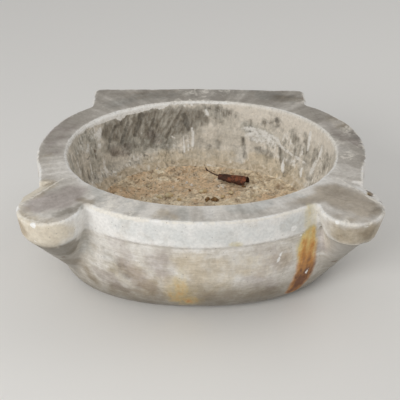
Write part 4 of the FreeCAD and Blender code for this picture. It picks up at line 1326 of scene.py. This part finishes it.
def lay_crust(mesh, settings):
    """Lumps over the top of the crust, thinned out to nothing up the wall."""
    points = read_points(mesh)
    edges = read_edges(mesh)
    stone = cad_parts["basin"].data
    corners = [tuple(spot) for spot in read_points(stone)]
    tree = BVHTree.FromPolygons(corners, [tuple(face.vertices) for face in stone.polygons])
    beds = np.array([tree.find_nearest(Vector(point))[0] for point in points])
    points = evened(points, edges, 8)
    write_points(mesh, points)
    normals = read_normals(mesh)
    top = eased(normals[:, 2], *CRUST_TOP)
    nearest, number = nearest_cells(points, settings.lump_size, seed=51)
    small, small_number = nearest_cells(points, settings.lump_size * CRUMB_SIZE, seed=61)
    lump = (1 - eased(nearest, 0.1, 0.85)) * number
    crumb = (1 - eased(small, 0.1, 0.8)) * small_number
    swell = clouds(points, 45 * MM, seed=71)
    height = settings.lumps * (0.55 * lump + 0.35 * crumb + 0.3 * swell)
    points = points + normals * (height * top)[:, None]
    edge = points[:, 2] + CRUST_EDGE * clouds(points, 16 * MM, seed=81)
    feather = 1 - eased(edge, *CRUST_FEATHER)
    points = mixed(beds, points, mixed(CRUST_FILM, 1.0, feather)[:, None])
    write_points(mesh, points)
    proud = smooth_and_proud(points, edges, read_normals(mesh))[1]
    lumpy = eased(height * top, 0.2 * MM, 0.8 * settings.lumps)
    write_field(mesh, "lump", lumpy * eased(number, 0.3, 0.7))
    # Where the crust lies in, for painted shade in its hollows
    write_field(mesh, "hollow_shade", eased(-proud, 0.05 * MM, 0.5 * MM))
    write_field(mesh, "bed", top * feather)


GRIT_TURN = 6.28                            # radians: a grain is turned by up to a full turn
GRIT_NARROWEST = (0.6, 0.6, 0.5)            # how a grain is stretched along its own axes
GRIT_WIDEST = (1.2, 1.2, 0.9)
GRIT_RARITY = 3.0                           # the higher, the fewer the large grains
GRIT_LUMPS = 700.0                          # lumps to a metre of the noise that dents a grain
GRIT_DENT = 0.0016                          # how far that noise moves a point, in metres


def by_chance(tree, low, high, seed):
    """A random number, or three of them where the limits are tuples."""
    several = isinstance(low, tuple)
    first = 0 if several else 2
    made = add_node(tree, "FunctionNodeRandomValue", {first: low, first + 1: high, "Seed": seed},
                    data_type="FLOAT_VECTOR" if several else "FLOAT")
    return made.outputs[0 if several else 1]


def grit_tree():
    """Grains scattered over a surface, each turned and sized by chance."""
    inputs = [("Crust", "Geometry", None), ("Count", "Int", 1000), ("Seed", "Int", 0),
              ("Smallest", "Float", 0.0005), ("Largest", "Float", 0.002),
              ("Finish", "Material", None)]
    tree, given, result = new_group("scattered_grit", inputs, [("Grit", "Geometry")],
                                    "GeometryNodeTree")
    bed = add_node(tree, "GeometryNodeInputNamedAttribute", {"Name": "bed"}, data_type="FLOAT")
    on_bed = add_node(tree, "FunctionNodeCompare", {0: bed.outputs["Attribute"], 1: 0.5},
                      data_type="FLOAT", operation="GREATER_THAN")
    face_area = add_node(tree, "GeometryNodeInputMeshFaceArea")
    area = add_node(tree, "GeometryNodeAttributeStatistic",
                    {"Geometry": given["Crust"], 2: face_area.outputs[0]},
                    data_type="FLOAT", domain="FACE")
    density = calculate(tree, "DIVIDE", given["Count"], area.outputs["Sum"])
    spots = add_node(tree, "GeometryNodeDistributePointsOnFaces",
                     {"Mesh": given["Crust"], "Density": density, "Seed": given["Seed"],
                      "Selection": on_bed.outputs[0]}, distribute_method="RANDOM")
    grain = add_node(tree, "GeometryNodeMeshIcoSphere", {"Radius": 1.0, "Subdivisions": 2})
    turn = by_chance(tree, (0, 0, 0), (GRIT_TURN,) * 3, 3)
    stretch = by_chance(tree, GRIT_NARROWEST, GRIT_WIDEST, 4)
    rare = calculate(tree, "POWER", by_chance(tree, 0.0, 1.0, 5), GRIT_RARITY)
    size = add_node(tree, "ShaderNodeMapRange", {"Value": rare, "To Min": given["Smallest"],
                                                 "To Max": given["Largest"]})
    scale = calculate_vector(tree, "SCALE", {0: stretch, "Scale": size.outputs[0]})
    laid = add_node(tree, "GeometryNodeInstanceOnPoints",
                    {"Points": spots.outputs["Points"], "Instance": grain.outputs["Mesh"],
                     "Rotation": turn, "Scale": scale})
    marked = add_node(tree, "GeometryNodeStoreNamedAttribute",
                      {"Geometry": laid.outputs[0], "Name": "shade",
                       "Value": by_chance(tree, 0.0, 1.0, 6)},
                      data_type="FLOAT", domain="INSTANCE")
    real = add_node(tree, "GeometryNodeRealizeInstances", {0: marked.outputs[0]})
    where = add_node(tree, "GeometryNodeInputPosition")
    rough = add_node(tree, "ShaderNodeTexNoise",
                     {"Vector": where.outputs[0], "Scale": GRIT_LUMPS, "Detail": 1.0})
    centred = calculate_vector(tree, "SUBTRACT", {0: rough.outputs["Color"], 1: (0.5, 0.5, 0.5)})
    shift = calculate_vector(tree, "SCALE", {0: centred, "Scale": GRIT_DENT})
    crooked = add_node(tree, "GeometryNodeSetPosition",
                       {"Geometry": real.outputs[0], "Offset": shift})
    finished = add_node(tree, "GeometryNodeSetMaterial",
                        {"Geometry": crooked.outputs[0], "Material": given["Finish"]})
    tree.links.new(finished.outputs[0], result[0])
    return tree


class STOUP_OT_lay_crust(bpy.types.Operator):
    """Line the bowl with dried silt and strew grit over it"""
    bl_idname = "stoup.lay_crust"
    bl_label = "Lay crust"

    def execute(self, context):
        settings = context.scene.stoup_silt
        mesh = remeshed("bowl_crust", settings.grain)
        lay_crust(mesh, settings)
        finish = finished_material("dried_silt", crust_colour(settings), rough=0.92, relief=1 * MM)
        place_piece("silt_crust", mesh, finish, "bowl_crust")
        grains = finished_material("silt_grit", grit_colour(settings), rough=0.9, relief=0.3 * MM)
        values = {"Count": settings.grit_count, "Seed": settings.seed, "Finish": grains,
                  "Smallest": settings.grit_smallest, "Largest": settings.grit_largest}
        grit = modified(mesh, "NODES", values, node_group=grit_tree())
        place_piece("crust_grit", grit, grains)
        return {"FINISHED"}


# ---- Leaf ----

def tube(spots, radii, sides):
    """Points and faces of a closed tube along a list of points."""
    corners, faces = [], []
    for index, (spot, radius) in enumerate(zip(spots, radii)):
        ahead = spots[min(index + 1, len(spots) - 1)] - spots[max(index - 1, 0)]
        turn = ahead.to_track_quat("Z", "Y")
        for side in range(sides):
            angle = 2 * math.pi * side / sides
            across, up = radius * math.cos(angle), radius * math.sin(angle)
            corners.append(spot + turn @ Vector((across, up, 0)))
        if index:
            first, last = (index - 1) * sides, index * sides
            for side in range(sides):
                after = (side + 1) % sides
                faces.append((first + side, first + after, last + after, last + side))
    faces.append(tuple(range(sides))[::-1])
    faces.append(tuple(range(len(corners) - sides, len(corners))))
    return corners, faces


LEAF_AXIS = Vector((63, 98.5, 91.1)) * MM   # middle of the curled blade
LEAF_TURN = math.radians(-17)
LEAF_STEPS = 72             # along the blade
LEAF_TURNS = 44             # round the curl
LEAF_HALF_CURL = math.radians(113)
# Along the blade, as (place, share): how wide its curl is, and how far round it goes.
LEAF_GIRTH = ((0.0, 0.74), (0.2, 0.84), (0.5, 0.94), (0.8, 1.1), (1.0, 1.1))
LEAF_SPREAD = ((0.0, 0.80), (0.15, 0.82), (0.4, 1.02), (0.55, 1.0), (0.8, 1.12), (1.0, 1.06))
LEAF_SLANT = 3.5 * MM       # how far the tip's two corners lie before and behind its middle
LEAF_THICKNESS = 0.5 * MM
LEAF_FLAT_LENGTH = 60       # millimetres: the flat blade that its waves are read over
LEAF_FLAT_WIDTH = 20
WAVE_HEIGHT = 0.55 * MM
VEIN_HEIGHT = 0.25 * MM
VEINS = 11                  # side veins along the blade
VEIN_SLANT = 3.4            # how many veins a side vein passes on its way to the edge
VEIN_WIDTH = 0.13           # as a share of the way to the next vein
RIB_WIDTH = 0.035           # as a share of the half blade, like the next two
CREASE_ACROSS = -0.42
CREASE_WIDTH = 0.12
NOTCH_ALONG = 0.52          # the notch in one edge, as shares of the blade
NOTCH_WIDTH = 0.09
NOTCH_DEPTH = 0.12
CRIMP_ALONG = 0.2           # the raised ring near the stalk, as shares of the blade
CRIMP_WIDTH = 0.025
CRIMP_HEIGHT = 0.5 * MM
STALK_BEND = Vector((-27, 5, 6)) * MM       # from its root to its bend
STALK_END = Vector((-8, 6, 9)) * MM         # and on from there to its end
STALK_RADIUS = 1.3 * MM
STALK_SAG = 1.2 * MM
STALK_STEPS = 12            # to each side of the bend
STALK_SIDES = 10
STALK_SHADE = 0.9           # as dark as a vein or fold


def leaf_blade(settings):
    """The curled blade as points and faces, its veins and waves in its shape."""
    steps, turns = np.linspace(0, 1, LEAF_STEPS), np.linspace(-1, 1, LEAF_TURNS)
    along, across = (grid.ravel() for grid in np.meshgrid(steps, turns, indexing="ij"))
    out = np.abs(across)
    flat = np.stack([along * LEAF_FLAT_LENGTH, across * LEAF_FLAT_WIDTH, 0 * along], axis=1) * MM
    angle = across * LEAF_HALF_CURL * by_curve(LEAF_SPREAD, along)
    angle *= 1 + 0.10 * clouds(flat, 9 * MM, seed=91) * out ** 3
    angle *= 1 - NOTCH_DEPTH * peak(along, NOTCH_ALONG, NOTCH_WIDTH) * (across > 0)
    radius = settings.leaf_curl * by_curve(LEAF_GIRTH, along)
    radius *= 1 - 0.10 * out ** 3
    phase = along * VEINS - out * VEIN_SLANT
    veins = peak(phase, np.round(phase), VEIN_WIDTH) + peak(across, 0, RIB_WIDTH)
    radius += VEIN_HEIGHT * veins + WAVE_HEIGHT * clouds(flat, 12 * MM, seed=92)
    radius += CRIMP_HEIGHT * peak(along, CRIMP_ALONG, CRIMP_WIDTH)
    ragged = 1 + 0.05 * clouds(flat, 7 * MM, seed=93) - 0.05 * out
    x = (along - 0.5) * settings.leaf_length * np.where(along > 0.5, ragged, 1)
    x -= LEAF_SLANT * across * eased(along, 0.5, 1.0)
    z = np.minimum(radius, settings.leaf_curl) * np.cos(angle)
    points = np.stack([x, -radius * np.sin(angle), z], axis=1)
    faces = []
    for step in range(LEAF_STEPS - 1):
        for turn in range(LEAF_TURNS - 1):
            corner = step * LEAF_TURNS + turn
            faces.append((corner, corner + 1, corner + LEAF_TURNS + 1, corner + LEAF_TURNS))
    fold = eased(out, 0.5, 0.95) + 0.8 * (1 - eased(along, 0.15, 0.45))
    fold += peak(across, CREASE_ACROSS, CREASE_WIDTH)
    return points, faces, {"vein": veins, "fold": fold}


def leaf_stalk(settings):
    """Points and faces of the bent stalk, with a knot at the bend."""
    root = Vector((-0.5 * settings.leaf_length + 1 * MM, 0, settings.leaf_curl * 0.5 - 1 * MM))
    bend = root + STALK_BEND
    end = bend + STALK_END
    spots, radii = [], []
    for start, stop, thick, thin in ((root, bend, 1.0, 0.75), (bend, end, 1.5, 0.35)):
        for step in range(STALK_STEPS):
            share = step / STALK_STEPS
            sag = Vector((0, 0, -STALK_SAG * math.sin(math.pi * share)))
            spots.append(start.lerp(stop, share) + sag)
            radii.append(STALK_RADIUS * mixed(thick, thin, min(1, share * 1.6)))
    spots.append(end)
    radii.append(STALK_RADIUS * 0.3)
    return tube(spots, radii, STALK_SIDES)


def leaf_mesh(settings):
    """The blade with its thickness, and its stalk, where the leaf lies."""
    points, faces, marks = leaf_blade(settings)
    sheet = new_mesh("leaf_sheet", [tuple(point) for point in points], faces)
    for name, values in marks.items():
        write_field(sheet, name, np.clip(values, 0, 1))
    blade = modified(sheet, "SOLIDIFY", thickness=LEAF_THICKNESS, offset=-1.0)
    stalk = new_mesh("leaf_stalk", *leaf_stalk(settings))
    for name in marks:
        write_field(stalk, name, np.full(len(stalk.vertices), STALK_SHADE))
    place = Matrix.Translation(LEAF_AXIS) @ Matrix.Rotation(LEAF_TURN, 4, "Z")
    return closed_mesh("dead_leaf", (blade, stalk), place)


def leaf_colour(settings):
    """Red-brown blade, darker along its veins and in blotches."""
    def build(tree, place):
        middle = noise(tree, place, 0.008, 4, 0.6, 0.5)
        crumpled = noise(tree, place, 0.004, 3, 0.6, 0.8)
        fine = noise(tree, place, 0.0012, 4, 0.6)
        dark = weighted(tree, (remap(tree, middle, 0.43, 0.57), 0.7), (field(tree, "vein"), 0.3),
                        (field(tree, "fold"), 0.85), (remap(tree, crumpled, 0.48, 0.62), 0.4))
        dark = calculate(tree, "MINIMUM", dark, 1.0)
        relief = weighted(tree, (fine, 0.6), (crumpled, 2.0))
        colour = coated(tree, settings.leaf, settings.leaf_dark, dark)
        return colour, remap(tree, middle, 0.3, 0.7, 0.65, 0.85), relief
    return build


class STOUP_OT_curl_leaf(bpy.types.Operator):
    """Curl the dead leaf that lies on the crust"""
    bl_idname = "stoup.curl_leaf"
    bl_label = "Curl leaf"

    def execute(self, context):
        settings = context.scene.stoup_litter
        finish = finished_material("dead_leaf_skin", leaf_colour(settings), rough=0.6,
                                   relief=0.3 * MM)
        place_piece("curled_leaf", leaf_mesh(settings), finish, "dry_leaf")
        return {"FINISHED"}


# ---- Small litter ----

def worn_piece(node, grain, rounds, size, depth, drawn=(1, 1, 1)):
    """A small CAD piece, its edges rounded, with lumps of a given size and depth. Drawn sets how
    close the lumps stand along each axis."""
    mesh = remeshed(node, grain)
    edges = read_edges(mesh)
    points = evened(read_points(mesh), edges, rounds)
    write_points(mesh, points)
    lumps = clouds(points * np.array(drawn), size, seed=33, octaves=4)
    points = points + read_normals(mesh) * (depth * lumps)[:, None]
    write_points(mesh, kept_in(points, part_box(node)))
    return mesh


def two_tone(light, dark, size, speck=0.3):
    """A material that runs between two colours, with fine grain."""
    def build(tree, place):
        middle = noise(tree, place, size, 4, 0.6, 0.4)
        fine = noise(tree, place, size * 0.15, 4, 0.6)
        share = calculate(tree, "ADD", remap(tree, middle, 0.38, 0.62, 0.0, 1 - speck),
                          product(tree, fine, speck))
        return blend_colours(tree, share, light, dark), None, fine
    return build


class STOUP_OT_round_pebbles(bpy.types.Operator):
    """Round the worn lumps that lie on the crust"""
    bl_idname = "stoup.round_pebbles"
    bl_label = "Round pebbles"

    def execute(self, context):
        settings = context.scene.stoup_litter
        mesh = worn_piece("pebbles", grain=0.7 * MM, rounds=14, size=6 * MM, depth=0.8 * MM)
        build = two_tone(settings.pebble_pale, settings.pebble, 0.02)
        finish = finished_material("worn_lump", build, rough=0.85, relief=0.4 * MM)
        place_piece("worn_pebbles", mesh, finish, "pebbles")
        return {"FINISHED"}


class STOUP_OT_break_bark(bpy.types.Operator):
    """Break the bits of bark that lie on the crust"""
    bl_idname = "stoup.break_bark"
    bl_label = "Break bark"

    def execute(self, context):
        settings = context.scene.stoup_litter
        mesh = worn_piece("bark_bits", grain=0.45 * MM, rounds=3, size=2.5 * MM, depth=0.7 * MM,
                          drawn=(0.4, 1.0, 1.6))
        build = two_tone(settings.bark, settings.bark_dark, 0.004)
        finish = finished_material("rough_bark", build, rough=0.9, relief=0.5 * MM)
        place_piece("bark_flakes", mesh, finish, "bark_bits")
        return {"FINISHED"}


class STOUP_OT_chip_marble(bpy.types.Operator):
    """Break the fresh white chips that lie on the crust"""
    bl_idname = "stoup.chip_marble"
    bl_label = "Chip marble"

    def execute(self, context):
        settings = context.scene.stoup_litter
        mesh = worn_piece("marble_chips", grain=0.4 * MM, rounds=2, size=2 * MM, depth=0.35 * MM)
        build = two_tone(settings.chip, context.scene.stoup_stone.mid, 0.004)
        finish = finished_material("fresh_marble", build, rough=0.5, relief=0.2 * MM)
        place_piece("broken_chips", mesh, finish, "marble_chips")
        return {"FINISHED"}


class STOUP_OT_rust_stub(bpy.types.Operator):
    """Rust the broken iron stub in the right lug"""
    bl_idname = "stoup.rust_stub"
    bl_label = "Rust stub"

    def execute(self, context):
        settings = context.scene.stoup_litter
        mesh = worn_piece("iron_stub", grain=0.5 * MM, rounds=4, size=3 * MM, depth=0.5 * MM)
        build = two_tone(settings.iron, settings.leaf_dark, 0.004)
        finish = finished_material("rusted_iron", build, rough=0.85, relief=0.5 * MM)
        place_piece("rusted_stub", mesh, finish, "iron_stub")
        return {"FINISHED"}


# ---- Snail shell ----

SHELL_MIDDLE = Vector((105, 49, 83)) * MM
SHELL_MOUTH = 4.6 * MM      # from the coil's middle to the middle of its mouth
SHELL_MOUTH_TURN = 1.5      # turns from +X to the mouth
SHELL_TURNS = 2.6
SHELL_GROWTH = 2.3          # how much wider each turn is than the one inside it
SHELL_TUBE = 0.36           # tube radius as a share of its distance from the middle
SHELL_STEPS = 110
SHELL_SIDES = 16
SHELL_RIDGES = 10           # to a turn
SHELL_RIDGE_HEIGHT = 0.03   # as a share of the tube's radius


def shell_mesh():
    """A small coiled shell with growth ridges, lying on its side."""
    spots, radii = [], []
    for step in range(SHELL_STEPS + 1):
        turn = SHELL_MOUTH_TURN - SHELL_TURNS * (1 - step / SHELL_STEPS)
        angle = 2 * math.pi * turn
        reach = SHELL_MOUTH * SHELL_GROWTH ** (turn - SHELL_MOUTH_TURN)
        spots.append(SHELL_MIDDLE + Vector((reach * math.cos(angle), reach * math.sin(angle), 0)))
        ridge = SHELL_RIDGE_HEIGHT * math.sin(SHELL_RIDGES * angle)
        radii.append(reach * SHELL_TUBE * (1 + ridge))
    coil = new_mesh("shell_coil", *tube(spots, radii, SHELL_SIDES))
    return closed_mesh("closed_shell", (coil,))


class STOUP_OT_coil_shell(bpy.types.Operator):
    """Coil the small snail shell that lies on the crust"""
    bl_idname = "stoup.coil_shell"
    bl_label = "Coil shell"

    def execute(self, context):
        settings = context.scene.stoup_litter
        build = two_tone(settings.shell, settings.pebble, 0.003)
        finish = finished_material("bleached_shell", build, rough=0.45, relief=0.1 * MM)
        place_piece("coiled_shell", shell_mesh(), finish, "snail_shell")
        return {"FINISHED"}


# ---- Stage ----

CAMERA_PLACE = (0.00777, -1.2973, 0.92027)
CAMERA_TILT = math.radians(57.84)
CAMERA_TURN = 0.00599       # radians, like its roll
CAMERA_ROLL = -0.0035
CAMERA_SHIFT = -0.0039      # as a share of the picture's width
FLOOR_REACH = 14.0
FLOOR_DROP = -0.2 * MM      # so that the stone's flat underside doesn't lie in the floor
LAMP_TARGET = Vector((0, 0, 0.12))
KEY_PLACE, KEY_WIDTH = Vector((-1.5, -2.1, 1.55)), 1.3
FILL_PLACE, FILL_WIDTH = Vector((1.8, 0.8, 2.2)), 1.8
FLOOR_ROUGHNESS = 0.9


def add_lamp(name, place, width, power):
    lamp = bpy.data.lights.new(name, "AREA")
    lamp.shape = "DISK"
    lamp.size = width
    lamp.energy = power
    holder = add_object(name, lamp)
    holder.location = place
    holder.rotation_euler = (LAMP_TARGET - place).to_track_quat("-Z", "Y").to_euler()


class STOUP_OT_set_stage(bpy.types.Operator):
    """Set the pale floor, the soft studio light and the camera"""
    bl_idname = "stoup.set_stage"
    bl_label = "Set stage"

    def execute(self, context):
        scene = context.scene
        settings = scene.stoup_stage
        square = ((-1, -1), (1, -1), (1, 1), (-1, 1))
        corners = [(x * FLOOR_REACH, y * FLOOR_REACH, FLOOR_DROP) for x, y in square]
        floor = add_object("floor", new_mesh("floor", corners, [(0, 1, 2, 3)]))
        material = bpy.data.materials.new("pale_floor")
        material.use_nodes = True
        surface = material.node_tree.nodes["Principled BSDF"]
        surface.inputs["Base Color"].default_value = settings.floor
        surface.inputs["Roughness"].default_value = FLOOR_ROUGHNESS
        floor.data.materials.append(material)
        world = bpy.data.worlds.new("studio")
        world.use_nodes = True
        background = world.node_tree.nodes["Background"]
        background.inputs["Color"].default_value = (1, 1, 1, 1)
        background.inputs["Strength"].default_value = settings.sky
        scene.world = world
        add_lamp("key_lamp", KEY_PLACE, KEY_WIDTH, settings.key_power)
        add_lamp("fill_lamp", FILL_PLACE, FILL_WIDTH, settings.fill_power)
        camera = bpy.data.cameras.new("camera")
        camera.lens = settings.lens
        camera.shift_x = CAMERA_SHIFT
        holder = add_object("camera", camera)
        turn = Matrix.Rotation(CAMERA_TURN, 4, "Z") @ Matrix.Rotation(CAMERA_TILT, 4, "X")
        roll = Matrix.Rotation(CAMERA_ROLL, 4, "Z")
        holder.matrix_world = Matrix.Translation(CAMERA_PLACE) @ turn @ roll
        scene.camera = holder
        scene.view_settings.view_transform = "Standard"
        return {"FINISHED"}


# ---- Panel and registration ----

OPERATORS = (
    STOUP_OT_carve_stone,
    STOUP_OT_lay_crust,
    STOUP_OT_curl_leaf,
    STOUP_OT_round_pebbles,
    STOUP_OT_break_bark,
    STOUP_OT_chip_marble,
    STOUP_OT_rust_stub,
    STOUP_OT_coil_shell,
    STOUP_OT_set_stage,
)
SETTINGS = {
    "stoup_stone": StoneSettings,
    "stoup_silt": SiltSettings,
    "stoup_litter": LitterSettings,
    "stoup_stage": StageSettings,
}


class STOUP_PT_panel(bpy.types.Panel):
    """Lists the settings and the operators that build the stoup"""
    bl_idname = "STOUP_PT_panel"
    bl_label = "Marble stoup"
    bl_space_type = "VIEW_3D"
    bl_region_type = "UI"
    bl_category = "Stoup"

    def draw(self, context):
        for operator in OPERATORS:
            self.layout.operator(operator.bl_idname)
        for name, group in SETTINGS.items():
            box = self.layout.box()
            box.label(text=group.__doc__)
            for setting in group.__annotations__:
                box.prop(getattr(context.scene, name), setting)


def register():
    for group in SETTINGS.values():
        bpy.utils.register_class(group)
    for name, group in SETTINGS.items():
        setattr(bpy.types.Scene, name, bpy.props.PointerProperty(type=group))
    for item in (*OPERATORS, STOUP_PT_panel):
        bpy.utils.register_class(item)


def unregister():
    for item in (STOUP_PT_panel, *reversed(OPERATORS)):
        bpy.utils.unregister_class(item)
    for name, group in SETTINGS.items():
        delattr(bpy.types.Scene, name)
        bpy.utils.unregister_class(group)


def main():
    register()
    for operator in OPERATORS:
        category, name = operator.bl_idname.split(".")
        getattr(getattr(bpy.ops, category), name)()


if __name__ == "__main__":
    main()
